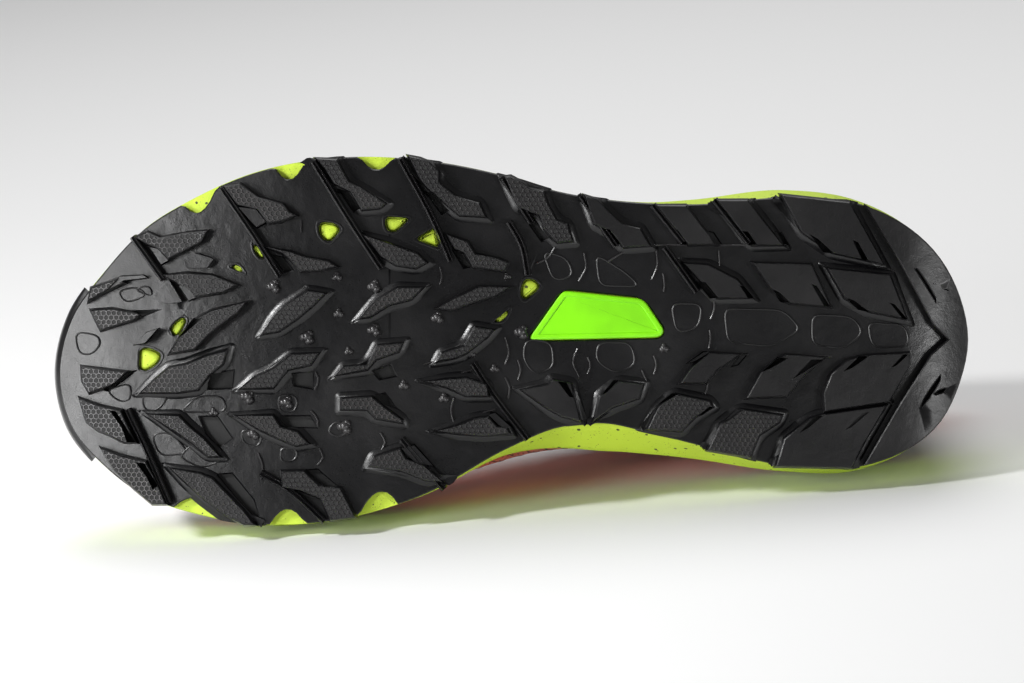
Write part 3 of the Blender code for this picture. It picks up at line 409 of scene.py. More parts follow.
class Socket:
    """A value of a material's graph; arithmetic on it adds Math nodes."""

    __add__ = operator("ADD")
    __radd__ = operator("ADD", turned=True)
    __sub__ = operator("SUBTRACT")
    __rsub__ = operator("SUBTRACT", turned=True)
    __mul__ = operator("MULTIPLY")
    __lt__ = operator("LESS_THAN")
    __gt__ = operator("GREATER_THAN")
    __abs__ = operator("ABSOLUTE")
    # The larger and the smaller of two values
    most = operator("MAXIMUM")
    least = operator("MINIMUM")
    # The angle in radians of a point this far up and that far along
    angle = operator("ARCTAN2")
    sine = operator("SINE")
    # The value folded into the range from one limit to the other
    folded = operator("WRAP")

    def __init__(self, graph: "Graph", link: bpy.types.NodeSocket) -> None:
        """Keep the graph and the socket that the value comes out of."""
        self.graph = graph
        self.link = link

    def within(self, period: float) -> "Socket":
        """Return the value folded into one period about zero."""
        return self.folded(period / 2, -period / 2)

    def wave(self, period: float) -> "Socket":
        """Return a sine of the value with that period, from -1 to 1."""
        return (self * (2 * math.pi / period)).sine()

    def ramp(self, low: float, high: float) -> "Socket":
        """Return 0 below low and 1 above high, with a soft rise between them."""
        settings = {"interpolation_type": "SMOOTHSTEP"}
        inputs = {"Value": self, "From Min": low, "From Max": high}
        return self.graph.node("ShaderNodeMapRange", settings, inputs)


class Graph:
    """The node graph of one material."""

    def __init__(self, name: str) -> None:
        """Start a material with only its output and shader."""
        self.material = bpy.data.materials.new(name)
        self.material.use_nodes = True
        self.tree = self.material.node_tree
        self.shader = self.tree.nodes["Principled BSDF"]

    def node(self, kind: str, settings: dict, inputs: dict, output: Union[int, str] = 0) -> Socket:
        """Add a node.

        Args:
            kind: The node's type.
            settings: Properties that are set before its sockets.
            inputs: Values or links by socket name or number.
            output: The socket to return.

        Returns:
            The chosen output.
        """
        made = self.tree.nodes.new(kind)
        for key, value in settings.items():
            setattr(made, key, value)
        for key, value in inputs.items():
            self.feed(made.inputs[key], value)
        return Socket(self, made.outputs[output])

    def feed(self, socket: bpy.types.NodeSocket, value: object) -> None:
        """Link a value of the graph to a socket, or set it as a constant."""
        if isinstance(value, Socket):
            self.tree.links.new(value.link, socket)
        else:
            socket.default_value = value

    def surface(self, **values: object) -> None:
        """Feed the shader's sockets by their names with underscores for spaces."""
        for key, value in values.items():
            self.feed(self.shader.inputs[key.replace("_", " ")], value)

    def point(self) -> Socket:
        """Return the point on the surface, in metres along the piece's own axes."""
        return self.node("ShaderNodeTexCoord", {}, {}, "Object")

    def place(self) -> tuple[Socket, Socket, Socket]:
        """Return the point on the surface along the shoe's own three axes, in metres."""
        point = self.point()
        parts = []
        for axis in LAST.matrix[:3, :3].T:
            inputs = {0: point, 1: tuple(axis)}
            parts.append(self.node("ShaderNodeVectorMath", {"operation": "DOT_PRODUCT"}, inputs, "Value"))
        return tuple(parts)

    def noise(self, scale: float, detail: float = 3.0) -> Socket:
        """Return cloudy noise from 0 to 1."""
        inputs = {"Scale": scale, "Detail": detail, "Vector": self.point()}
        return self.node("ShaderNodeTexNoise", {}, inputs)

    def cells(self, scale: float, output: str = "Distance") -> Socket:
        """Return a reading of scattered cells."""
        inputs = {"Scale": scale, "Vector": self.point()}
        return self.node("ShaderNodeTexVoronoi", {"feature": "F1"}, inputs, output)

    def mix(self, factor: Union[Socket, float], low: object, high: object) -> Socket:
        """Return a colour between two colours."""
        made = self.tree.nodes.new("ShaderNodeMix")
        made.data_type = "RGBA"
        self.feed(made.inputs[0], factor)
        for number, colour in ((6, low), (7, high)):
            self.feed(made.inputs[number], colour if isinstance(colour, Socket) else (*colour, 1.0))
        return Socket(self, made.outputs[2])

    def bump(self, height: Socket, depth: float, under: Socket = None) -> Socket:
        """Return a normal from a height of 0 to 1 that stands for a depth in metres."""
        inputs = {"Height": height, "Strength": 1.0, "Distance": depth}
        if under:
            inputs["Normal"] = under
        return self.node("ShaderNodeBump", {}, inputs)


def hex_cells(graph: Graph, x: Socket, y: Socket, pitch: float) -> Socket:
    """Return where a point lies in a honeycomb's cell, from 0 at its wall to 1 at its centre."""
    tall = pitch * math.sqrt(3)
    nearest = []
    for shift in (0.0, 0.5):
        dx = abs((x + shift * pitch).within(pitch))
        dy = abs((y + shift * tall).within(tall))
        nearest.append(dx.most(dx * 0.5 + dy * (math.sqrt(3) / 2)))
    return 1 - nearest[0].least(nearest[1]) * (2 / pitch)


@dataclass(frozen=True)
class Rubber:
    """Black moulded rubber, with a honeycomb of small cells where cell_pitch isn't 0; the cells' pits are
    painted shade and their walls a painted highlight.
    """

    name: str
    colour: tuple = (0.0030, 0.0029, 0.0034)
    dust: tuple = (0.0075, 0.0070, 0.0074)
    roughness: float = 0.29
    cell_pitch: float = 0.0
    cell_depth: float = 0.0005
    # Painted highlight on the cell walls, with a lighter worn variant mixed in by a cloud; painted shade in the
    # pits
    wall: tuple = (0.016, 0.015, 0.016)
    worn_wall_highlight: tuple = (0.034, 0.031, 0.031)
    cell_pit_shade: tuple = (0.0012, 0.0012, 0.0013)

    def material(self) -> bpy.types.Material:
        """Return the finish as a material."""
        graph = Graph(self.name)
        x, y, _ = graph.place()
        cloud = graph.noise(38, 4).ramp(0.35, 0.75)
        fine = graph.noise(2600, 2)
        colour = graph.mix(cloud * 0.5, self.colour, self.dust)
        rough = self.roughness + cloud * 0.10 + (fine - 0.5) * 0.12
        normal = graph.bump(fine, 0.00004)
        normal = graph.bump(graph.noise(240, 3), 0.00016, normal)
        if self.cell_pitch:
            depth = hex_cells(graph, x, y, self.cell_pitch)
            # Painted shade in the cells' pits and a painted highlight on the walls between them
            cell_pit_shade = depth.ramp(0.14, 0.42)
            wall = graph.mix(cloud, self.wall, self.worn_wall_highlight)
            colour = graph.mix(cell_pit_shade, wall, self.cell_pit_shade)
            rough = rough + cell_pit_shade * 0.35
            normal = graph.bump(1 - cell_pit_shade, self.cell_depth, normal)
        graph.surface(Base_Color=colour, Roughness=rough, Normal=normal, Specular_IOR_Level=0.5)
        return graph.material


@dataclass(frozen=True)
class Foam:
    """Neon foam with fine pores and scattered black flecks."""

    name: str = "midsole_foam"
    bright: tuple = (0.53, 0.71, 0.045)
    deep: tuple = (0.40, 0.52, 0.020)
    fleck: tuple = (0.010, 0.010, 0.008)

    def material(self) -> bpy.types.Material:
        """Return the finish as a material."""
        graph = Graph(self.name)
        cloud = graph.noise(26, 3).ramp(0.3, 0.7)
        colour = graph.mix(cloud * 0.45, self.bright, self.deep)
        warp = graph.noise(900, 2)
        near = graph.cells(330) + (warp - 0.5) * 0.25
        chosen = graph.cells(330, "Color")
        picked = graph.node("ShaderNodeSeparateColor", {}, {0: chosen})
        flecks = (near < 0.17) * (picked > 0.62)
        specks = (graph.cells(1100) < 0.16) * (graph.noise(300, 1) > 0.52)
        mark = flecks.most(specks)
        colour = graph.mix(mark * 0.92, colour, self.fleck)
        normal = graph.bump(graph.noise(1500, 2), 0.00010)
        normal = graph.bump(graph.noise(160, 4), 0.00030, normal)
        graph.surface(Base_Color=colour, Roughness=0.58 + cloud * 0.1, Normal=normal)
        return graph.material


@dataclass(frozen=True)
class Gloss:
    """Smooth moulded plastic in one colour, with a faint ripple."""

    name: str
    colour: tuple
    roughness: float = 0.28
    coat: float = 0.2

    def material(self) -> bpy.types.Material:
        """Return the finish as a material."""
        graph = Graph(self.name)
        ripple = graph.noise(70, 2)
        shade = tuple(part * 0.82 for part in self.colour)
        colour = graph.mix(ripple.ramp(0.35, 0.7), self.colour, shade)
        normal = graph.bump(ripple, 0.00025)
        normal = graph.bump(graph.noise(1800, 2), 0.00002, normal)
        graph.surface(Base_Color=colour, Roughness=self.roughness + ripple * 0.12, Normal=normal)
        graph.surface(Coat_Weight=self.coat, Coat_Roughness=0.25)
        return graph.material


@dataclass(frozen=True)
class Knit:
    """Engineered mesh: rows of fine open stitches in a bright yarn over a darker ground."""

    name: str = "engineered_mesh"
    yarn: tuple = (0.90, 0.105, 0.022)
    light: tuple = (0.95, 0.22, 0.060)
    ground: tuple = (0.30, 0.030, 0.012)
    pitch: float = 0.0017
    # The cloth is charted round this axis of the lying shoe, at this radius
    axis_y: float = -0.02
    axis_z: float = 0.058
    girth: float = 0.042

    def material(self) -> bpy.types.Material:
        """Return the finish as a material."""
        graph = Graph(self.name)
        x, y, z = graph.place()
        lift = (z - self.axis_z).angle(y - self.axis_y) * self.girth
        depth = hex_cells(graph, x, lift, self.pitch)
        hole = depth.ramp(0.55, 0.85)
        cloud = graph.noise(55, 3).ramp(0.35, 0.65)
        thread = (x * 0.8 + lift).wave(0.00045) * 0.5 + 0.5
        colour = graph.mix(cloud * 0.5, self.yarn, self.light)
        colour = graph.mix(thread * 0.25, colour, self.ground)
        colour = graph.mix(hole * 0.85, colour, self.ground)
        normal = graph.bump(thread, 0.00008)
        normal = graph.bump(1 - hole, 0.00035, normal)
        graph.surface(Base_Color=colour, Roughness=0.72 + hole * 0.2, Normal=normal)
        graph.surface(Sheen_Weight=0.25, Sheen_Roughness=0.5)
        return graph.material


@dataclass(frozen=True)
class Film:
    """Thin welded overlay film with a fine pebble."""

    name: str = "welded_film"
    colour: tuple = (0.022, 0.022, 0.025)
    edge: tuple = (0.06, 0.06, 0.066)

    def material(self) -> bpy.types.Material:
        """Return the finish as a material."""
        graph = Graph(self.name)
        pebble = graph.cells(1300)
        cloud = graph.noise(60, 3).ramp(0.4, 0.7)
        colour = graph.mix(cloud * 0.35, self.colour, self.edge)
        normal = graph.bump(pebble, 0.00007)
        graph.surface(Base_Color=colour, Roughness=0.40 + cloud * 0.15, Normal=normal)
        return graph.material


@dataclass(frozen=True)
class Weave:
    """Plain cloth: two crossing sets of yarns, used for lining, tongue, insole and laces."""

    name: str
    colour: tuple = (0.030, 0.030, 0.034)
    light: tuple = (0.075, 0.075, 0.082)
    pitch: float = 0.0009
    depth: float = 0.00018

    def material(self) -> bpy.types.Material:
        """Return the finish as a material."""
        graph = Graph(self.name)
        x, y, z = graph.place()
        warp = (x + z * 0.6).wave(self.pitch)
        weft = (y - x * 0.2 + z * 0.8).wave(self.pitch)
        weave = (warp * weft) * 0.5 + 0.5
        fuzz = graph.noise(1900, 3)
        cloud = graph.noise(45, 2).ramp(0.35, 0.7)
        colour = graph.mix(weave * 0.7 + fuzz * 0.3, self.colour, self.light)
        colour = graph.mix(cloud * 0.3, colour, self.colour)
        normal = graph.bump(fuzz, 0.00006)
        normal = graph.bump(weave, self.depth, normal)
        graph.surface(Base_Color=colour, Roughness=0.86, Normal=normal)
        graph.surface(Sheen_Weight=0.35, Sheen_Roughness=0.4)
        return graph.material


def finish_piece(obj: bpy.types.Object, node: str, angle: float = 40.0) -> bpy.types.Object:
    """Shade a piece, put it on the shoe's body and say which solid it stands for."""
    obj.data.shade_smooth()
    obj.data.set_sharp_from_angle(angle=math.radians(angle))
    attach(obj, "root")
    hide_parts(node)
    LOG.info("%s: %d faces", obj.name, len(obj.data.polygons))
    return obj


def linked(name: str, data: bpy.types.ID) -> bpy.types.Object:
    """Return a new object of the scene with that data."""
    obj = bpy.data.objects.new(name, data)
    bpy.context.scene.collection.objects.link(obj)
    return obj


def new_piece(name: str, points: np.ndarray, faces: list, materials: Sequence) -> bpy.types.Object:
    """Return a mesh object from points in the shoe's own frame, moved to the row frame."""
    laid = np.maximum(LAST.to_row(points), (-math.inf, -math.inf, FLOOR_LEVEL))
    mesh = bpy.data.meshes.new(name)
    mesh.from_pydata(laid.tolist(), [], faces)
    for material in materials:
        mesh.materials.append(material)
    mesh.validate()
    mesh.update()
    return linked(name, mesh)


def face_out(obj: bpy.types.Object) -> bpy.types.Object:
    """Turn the faces of a closed mesh outward."""
    bm = bmesh.new()
    bm.from_mesh(obj.data)
    bmesh.ops.recalc_face_normals(bm, faces=bm.faces)
    bm.to_mesh(obj.data)
    bm.free()
    return obj


def strip_faces(rows: int, columns: int, closed: bool, start: int = 0) -> list[tuple]:
    """Return the quads of a grid of points; closed joins the last row to the first."""
    faces = []
    for i in range(rows if closed else rows - 1):
        here, there = start + i * columns, start + (i + 1) % rows * columns
        faces += [(here + j, there + j, there + j + 1, here + j + 1) for j in range(columns - 1)]
    return faces


def slab(front: np.ndarray, back: np.ndarray, closed: bool = False) -> tuple[np.ndarray, list]:
    """Return the points and faces of a closed body between two grids of the same size."""
    rows, columns = front.shape[:2]
    count = rows * columns
    points = np.concatenate([front.reshape(-1, 3), back.reshape(-1, 3)])
    faces = strip_faces(rows, columns, closed)
    faces += [tuple(reversed(face)) for face in strip_faces(rows, columns, closed, count)]
    for j in (0, columns - 1):
        for i in range(rows if closed else rows - 1):
            n = (i + 1) % rows
            a, b = i * columns + j, n * columns + j
            faces.append((a, a + count, b + count, b))
    if not closed:
        for i in (0, rows - 1):
            for j in range(columns - 1):
                a, b = i * columns + j, i * columns + j + 1
                faces.append((a, b, b + count, a + count))
    return points, faces


def percent(points: Plan) -> np.ndarray:
    """Return tread points, given in percent of the length and of the ball width, in metres."""
    return np.array(points, float) * PERCENT * (LAST.length, LAST.ball)


def offset_outline(points: np.ndarray, by: float) -> np.ndarray:
    """Return a closed outline moved outward by a distance, with its sharp corners held short."""
    following = np.roll(points, -1, axis=0)
    area = (points[:, 0] * following[:, 1] - following[:, 0] * points[:, 1]).sum()
    after = unit(following - points)
    before = np.roll(after, 1, axis=0)
    turned = [turned_left(side) * -math.copysign(1, area) for side in (before, after)]
    middle = unit(turned[0] + turned[1], TINY)
    cosine = np.maximum((middle * turned[0]).sum(axis=1), SHARPEST)
    return points + middle * (by / cosine)[:, None]


def encloses(outline: np.ndarray, point: Vector) -> bool:
    """Return whether a point of the plan lies inside a closed outline."""
    following = np.roll(outline, -1, axis=0)
    span = (outline[:, 1] > point.y) != (following[:, 1] > point.y)
    first, second = outline[span], following[span]
    at = first[:, 0] + (point.y - first[:, 1]) / (second[:, 1] - first[:, 1]) * (second[:, 0] - first[:, 0])
    return bool((at > point.x).sum() % 2)


def rounded(points: np.ndarray, radius: float, steps: int = 4) -> np.ndarray:
    """Return a closed outline with its corners rounded."""
    result = []
    for k, here in enumerate(points):
        ends = []
        for other in (points[k - 1], points[(k + 1) % len(points)]):
            length = np.linalg.norm(other - here)
            ends.append(here + (other - here) * min(radius, 0.45 * length) / length)
        for t in np.linspace(0, 1, steps + 1):
            result.append((1 - t) ** 2 * ends[0] + 2 * t * (1 - t) * here + t * t * ends[1])
    return np.array(result)


def within_edge(points: np.ndarray, margin: float = 0.0003) -> np.ndarray:
    """Return an outline kept inside the rubber's edge."""
    along = points[:, 0] / LAST.length
    low = np.array([LAST.edge_at(x, Side.INNER) for x in along]) + margin
    high = np.array([LAST.edge_at(x, Side.OUTER) for x in along]) - margin
    return np.column_stack([points[:, 0], np.clip(points[:, 1], low, high)])


def smooth_path(points: np.ndarray, spacing: float) -> np.ndarray:
    """Return an open line through points as a smooth curve with a point at each spacing."""
    keys = run_length(points)
    count = max(2, int(keys[-1] / spacing) + 1)
    if len(points) < 3:
        return points[0] + (points[-1] - points[0]) * np.linspace(0, 1, count)[:, None]
    return smooth_curve(keys, points, np.linspace(0, keys[-1], count))


@dataclass
class Relief:
    """Raised shapes of the tread, collected into one mesh; a depth is metres above the level of the tips."""

    draft: float = 0.0007
    bevel: float = 0.00035
    sink: float = 0.0005
    points: list = field(default_factory=list)
    faces: list = field(default_factory=list)
    tops: list = field(default_factory=list)

    def stack(self, outlines: list[tuple[np.ndarray, float]], top: Top = Top.PLAIN) -> None:
        """Add a closed body from outlines stacked from its root to its tip, each with its depth."""
        count = len(outlines[0][0])
        start = len(self.points)
        for outline, depth in outlines:
            along = outline[:, 0] / LAST.length
            self.points.extend(LAST.place(along, outline[:, 1], LAST.ground(along) + depth))
        for ring in range(len(outlines) - 1):
            for k in range(count):
                n = (k + 1) % count
                a, b = start + ring * count + k, start + ring * count + n
                self._face((a, b, b + count, a + count), Top.PLAIN)
        last = start + (len(outlines) - 1) * count
        self._face(tuple(range(start, start + count)), Top.PLAIN)
        self._face(tuple(range(last, last + count)), top)

    def _face(self, corners: tuple, top: Top) -> None:
        """Add one face with its finish."""
        self.faces.append(corners)
        self.tops.append(top.value)

    def block(self, outline: np.ndarray, height: float, root: float, top: Top = Top.PLAIN) -> None:
        """Add a block that stands on a root depth, wider at its foot and bevelled at its tip."""
        tip = root - height
        self.stack(
            [
                (offset_outline(outline, self.draft), root + self.sink),
                (outline, tip + self.bevel),
                (offset_outline(outline, -self.bevel), tip),
            ],
            top,
        )

    def bead(self, path: np.ndarray, width: float, height: float, root: float, closed: bool = False) -> None:
        """Add a rounded rib along a line."""
        ahead = np.roll(path, -1, axis=0) - path
        if not closed:
            ahead[-1] = ahead[-2]
        ahead = unit(ahead)
        behind = np.roll(ahead, 1, axis=0)
        if not closed:
            behind[0] = ahead[0]
        middle = unit(ahead + behind, TINY)
        side = turned_left(middle) / np.maximum((middle * ahead).sum(axis=1), 0.6)[:, None]
        flank = 0.75 * height
        profile = ((-0.5, -self.sink), (-0.36, flank), (0, height), (0.36, flank), (0.5, -self.sink))
        start = len(self.points)
        for share, up in profile:
            line = path + side * share * width
            along = line[:, 0] / LAST.length
            self.points.extend(LAST.place(along, line[:, 1], LAST.ground(along) + root - up))
        count = len(path)
        loops = len(profile)
        for ring in range(loops):
            first, second = start + ring * count, start + (ring + 1) % loops * count
            for k in range(count if closed else count - 1):
                n = (k + 1) % count
                self._face((first + k, first + n, second + n, second + k), Top.PLAIN)
        if not closed:
            for end in (0, count - 1):
                self._face(tuple(start + ring * count + end for ring in range(loops)), Top.PLAIN)

    def piece(self, name: str, materials: Sequence[bpy.types.Material]) -> bpy.types.Object:
        """Return the collected shapes as one object."""
        obj = new_piece(name, np.array(self.points), self.faces, materials)
        obj.data.polygons.foreach_set("material_index", np.array(self.tops, np.int32))
        return face_out(obj)


def ring_body(rings: list[np.ndarray]) -> tuple[np.ndarray, list]:
    """Return the points and faces of a body from rings stacked in order, closed at both ends."""
    count = len(rings[0])
    faces = []
    for level in range(len(rings) - 1):
        for k in range(count):
            n = (k + 1) % count
            a, b = level * count + k, level * count + n
            faces.append((a, b, b + count, a + count))
    for start in (0, (len(rings) - 1) * count):
        for k in range(count // 2):
            corners = (k, k + 1, (count - k - 1) % count, (count - k) % count)
            faces.append(tuple(start + corner for corner in dict.fromkeys(corners)))
    return np.concatenate(rings), faces


def cut(obj: bpy.types.Object, tool: bpy.types.Object) -> None:
    """Take a tool's solid out of a piece and delete the tool."""
    boolean = obj.modifiers.new("cut", "BOOLEAN")
    boolean.operation = "DIFFERENCE"
    boolean.object = tool
    boolean.solver = "EXACT"
    boolean.use_hole_tolerant = True
    apply_modifiers(obj)
    bpy.data.objects.remove(tool)


def apply_modifiers(obj: bpy.types.Object) -> None:
    """Replace a piece's mesh by what its modifiers make of it."""
    graph = bpy.context.evaluated_depsgraph_get()
    graph.update()
    mesh = bpy.data.meshes.new_from_object(obj.evaluated_get(graph))
    obj.modifiers.clear()
    obj.data = mesh


@dataclass
class Tread:
    """The tread's pattern, charted in percent of the length from the heel and of the ball width."""

    cell_lugs: tuple = (
        # Blocks along the outer edge of the forefoot
        (
            (91.3, 26.6), (90, 28), (88.5, 26.4), (85.5, 27.8), (83.3, 28.2), (83.9, 25.3), (86, 22.6),
            (87.6, 20.7), (88.8, 23.6), (89.8, 24.6),
        ),
        (
            (81.4, 40.2), (79.7, 40.9), (77.7, 37.3), (75, 35.5), (74.2, 33.2), (73.5, 32.3), (75.1, 30.7),
            (76.6, 30.3), (77.7, 34.1), (79.9, 35.3),
        ),
        (
            (71.3, 47.7), (69, 47.4), (68.4, 44.5), (67.7, 41.4), (66.6, 40), (64.6, 36.9), (63.7, 35.5),
            (64.3, 34.2), (66.3, 33.7), (67.5, 38.7), (69.3, 40.9), (70.3, 45),
        ),
        (
            (61.2, 48.3), (60, 47.7), (58.8, 46.5), (57.9, 44.2), (57.9, 41.1), (56.2, 37.6), (53.5, 35.7),
            (52.8, 31.9), (55.7, 32.3), (57.1, 35.3), (59.1, 39.6), (60, 42.3),
        ),
        (
            (50.7, 42.7), (50.1, 42.9), (48.6, 40.9), (48.1, 39.6), (46.5, 38.8), (46.1, 35.7),
            (45.1, 31.1), (43.9, 29.9), (43.3, 25.3), (45, 24.9), (46.4, 28.4), (46.9, 32.2), (49.2, 34.5),
            (50, 38.4),
        ),
        # The row inside them
        (
            (88.2, 16.3), (85.5, 16.9), (82.8, 16.2), (80, 13.6), (81.5, 11.6), (84.7, 10.3), (85.7, 12.3),
            (86.7, 14.2),
        ),
        ((77, 24), (74, 22.5), (72.5, 21), (70, 20), (69, 18.5), (71, 17.3), (73, 17.2), (74, 20), (75, 22)),
        (
            (66.3, 27.2), (63.4, 24.9), (60.2, 22), (59.2, 19.6), (60.4, 18), (62.6, 18.8), (64.2, 21.3),
            (65.3, 24.6),
        ),
        (
            (57.1, 27.2), (54.8, 25.3), (53.9, 21.8), (51.4, 20.6), (50.4, 19.5), (50.8, 17.2),
            (54.2, 18.3), (55.1, 22.2), (56.2, 23.4),
        ),
        # Arms that sweep from the middle towards the outer side
        (
            (87.5, -5.1), (86.2, 0.1), (84.3, 4.9), (82.7, 6.8), (78.9, 9), (79.9, 6), (81.5, 3.3),
            (83.1, 0.1), (84.7, -3.9),
        ),
        ((77.3, 0.1), (76, 4.9), (74.8, 8), (72.2, 12), (70.3, 11.2), (71.6, 8), (73.5, 4.1), (75.4, 0.9)),
        ((66.6, 4.4), (64.7, 9.6), (62.5, 12.8), (59.6, 12.8), (60.9, 9.6), (63.4, 8), (65.4, 4.8)),
        ((58.2, 7.2), (56.4, 9.8), (53.5, 13.1), (50.1, 13), (51.8, 10.4), (54.6, 8.4), (56.5, 6.6)),
        (
            (90.7, -15.7), (89.4, -12.6), (87.5, -8.6), (85.6, -7.8), (83.1, -5.4), (81.1, -4.2),
            (81.5, -7.8), (83.1, -11), (84.3, -14.9), (86.6, -15.7),
        ),
        (
            (79.7, -14.6), (78, -11.2), (76, -9), (74, -5.1), (71, -4.9), (71.9, -8.1), (74.4, -9.4),
            (75.3, -12.1), (76, -14.4),
        ),
        (
            (69.2, -11), (68.3, -8.5), (65.7, -8.1), (64.6, -2.7), (61.9, -2.2), (62.3, -4.5), (64.8, -6.7),
            (65.7, -9.4),
        ),
        (
            (58.1, -7.1), (57.6, -4.8), (55.1, -2.8), (54, 2.2), (52, 1.4), (52.6, -0.5), (55, -5.1),
            (56.2, -6.3),
        ),
        # Arms that sweep towards the inner side
        (
            (90, -21.4), (86.4, -21.8), (85.2, -24.8), (83.6, -28), (81.8, -33), (83.2, -33), (85, -29.2),
            (87, -26),
        ),
        (
            (80.2, -21.8), (76, -21.6), (75.2, -24.7), (73.3, -26.1), (72.1, -29.3), (73.5, -30),
            (75.5, -28), (77.5, -25.7),
        ),
        (
            (68.6, -17.1), (65.2, -16.6), (63.9, -19.3), (61.9, -22.9), (61.9, -23.8), (64.8, -22.5),
            (65.7, -20.2), (68.6, -20.2),
        ),
        ((59.5, -12.5), (57, -11.8), (55, -11.5), (52.7, -13.3), (52.5, -16.5), (55, -16.5), (57, -14.3)),
        # Blocks along the inner edge
        (
            (87.5, -36), (84, -37.5), (82.7, -38.7), (81.1, -42.7), (79.2, -47.5), (78, -51.4),
            (79.2, -51.4), (81.1, -49), (83.7, -44.3), (85.6, -40.3),
        ),
        (
            (75.1, -36.9), (72.6, -36.7), (71, -40.5), (68.6, -41.4), (67, -49.1), (69.7, -50),
            (70.8, -44.1), (73, -41.9), (75, -41),
        ),
        (
            (65.5, -35.5), (65, -32.8), (62.1, -30.6), (61.5, -33.3), (59.5, -35.1), (57.5, -39.5),
            (59.4, -39.2), (62.1, -36.5),
        ),
        (
            (58.3, -25.9), (56, -24.4), (54, -22.5), (52.5, -22), (51.5, -24.8), (50.5, -25), (50.2, -26.5),
            (53, -27.2), (56, -26.7),
        ),
        # The fan of small blocks at the toe
        ((96.6, 9.2), (96.3, 12.8), (92.9, 15.6), (92.5, 14.2), (95.2, 11.2)),
        ((96.3, 6.8), (93.9, 7.2), (90.7, 5.7), (91.4, 4.1), (95.2, 1.3), (95.8, 4.1)),
        (
            (97.1, -7.8), (96.1, -5.4), (94.2, -1.5), (91.4, 0.1), (90.1, 0.5), (91.4, -2.3), (94.6, -6.2),
            (96.1, -8.2),
        ),
        ((97.4, -8.6), (95.2, -9.2), (92.3, -10), (93.6, -13.4), (96.5, -15.8), (97.3, -12.5)),
        (
            (97.6, -17.3), (95.2, -19.3), (92.9, -20.5), (92.3, -23.7), (91.2, -29.2), (92.6, -29.2),
            (93.9, -27.6), (95.5, -26), (96.8, -23.7),
        ),
        (
            (95.2, -30.8), (92.9, -32.8), (90.1, -34.4), (89.1, -38.7), (87.8, -45.9), (89.4, -45.9),
            (91.4, -41.9), (93.6, -37.1),
        ),
        # The inner side of the waist
        ((34, -19.4), (32.2, -15.8), (28.4, -17.8), (28, -19.4), (29.9, -22), (31.5, -26), (35.2, -25.4)),
        ((28.6, -31), (27.3, -24), (25, -20), (20.5, -21.6), (20.8, -23.5), (23, -27), (24, -33)),
    )
    plain_lugs: tuple = (
        # The outer side of the waist
        (
            (42, 37.6), (40.6, 36.5), (39.5, 33.5), (38, 30), (36, 28.8), (34.9, 24.1), (37.8, 23.6),
            (39, 27.5), (41, 30),
        ),
        ((34.2, 35), (31, 35), (29.3, 29.5), (27.6, 24.4), (30.7, 24.4), (32.3, 29)),
        ((27.6, 36.4), (24.3, 36.4), (22.4, 30.3), (20.4, 24.2), (23.8, 24.2), (25.6, 30)),
        ((20.6, 37.8), (13.2, 35.8), (9.4, 18.8), (11.6, 20.3), (15.1, 22.2), (18.4, 27.8)),
        ((31.2, 19.4), (28.6, 19), (25.4, 15), (23.8, 10), (27.6, 9.9), (29.2, 14)),
        ((23.7, 19.5), (17.3, 19), (16.2, 13), (15.2, 7.6), (19.8, 8.7), (21.6, 12.2)),
        ((15.6, 18), (8.8, 16.3), (6.9, 4.2), (11.2, 6.4), (13.7, 9.9)),
        # Both sides of the notch in the arch
        ((49, -14.8), (46, -13.3), (45.5, -12), (43.5, -13), (42.5, -23.2), (44.5, -22), (46, -20)),
        ((40.4, -16.4), (38.3, -12.5), (35.6, -13.3), (36.1, -17.1), (39, -19.5), (41.1, -23.2)),
        ((31.6, -13), (30.4, -8.8), (28.4, -4.8), (25.1, -5.2), (27.6, -9.4), (28.9, -13)),
        ((24.4, -17), (22.8, -10), (20.2, -5.4), (15.8, -6), (18, -10.5), (20, -16.5)),
        (
            (16, -15.6), (15.2, -10.6), (13.6, -7), (11.4, -5.6), (6.7, -4.9), (6.6, -8), (8.9, -18),
            (15.9, -20.6),
        ),
        ((21.2, -35.4), (20.3, -28), (17.6, -22.6), (16.2, -21.5), (9.2, -19), (11.6, -29), (13, -35.8)),
    )
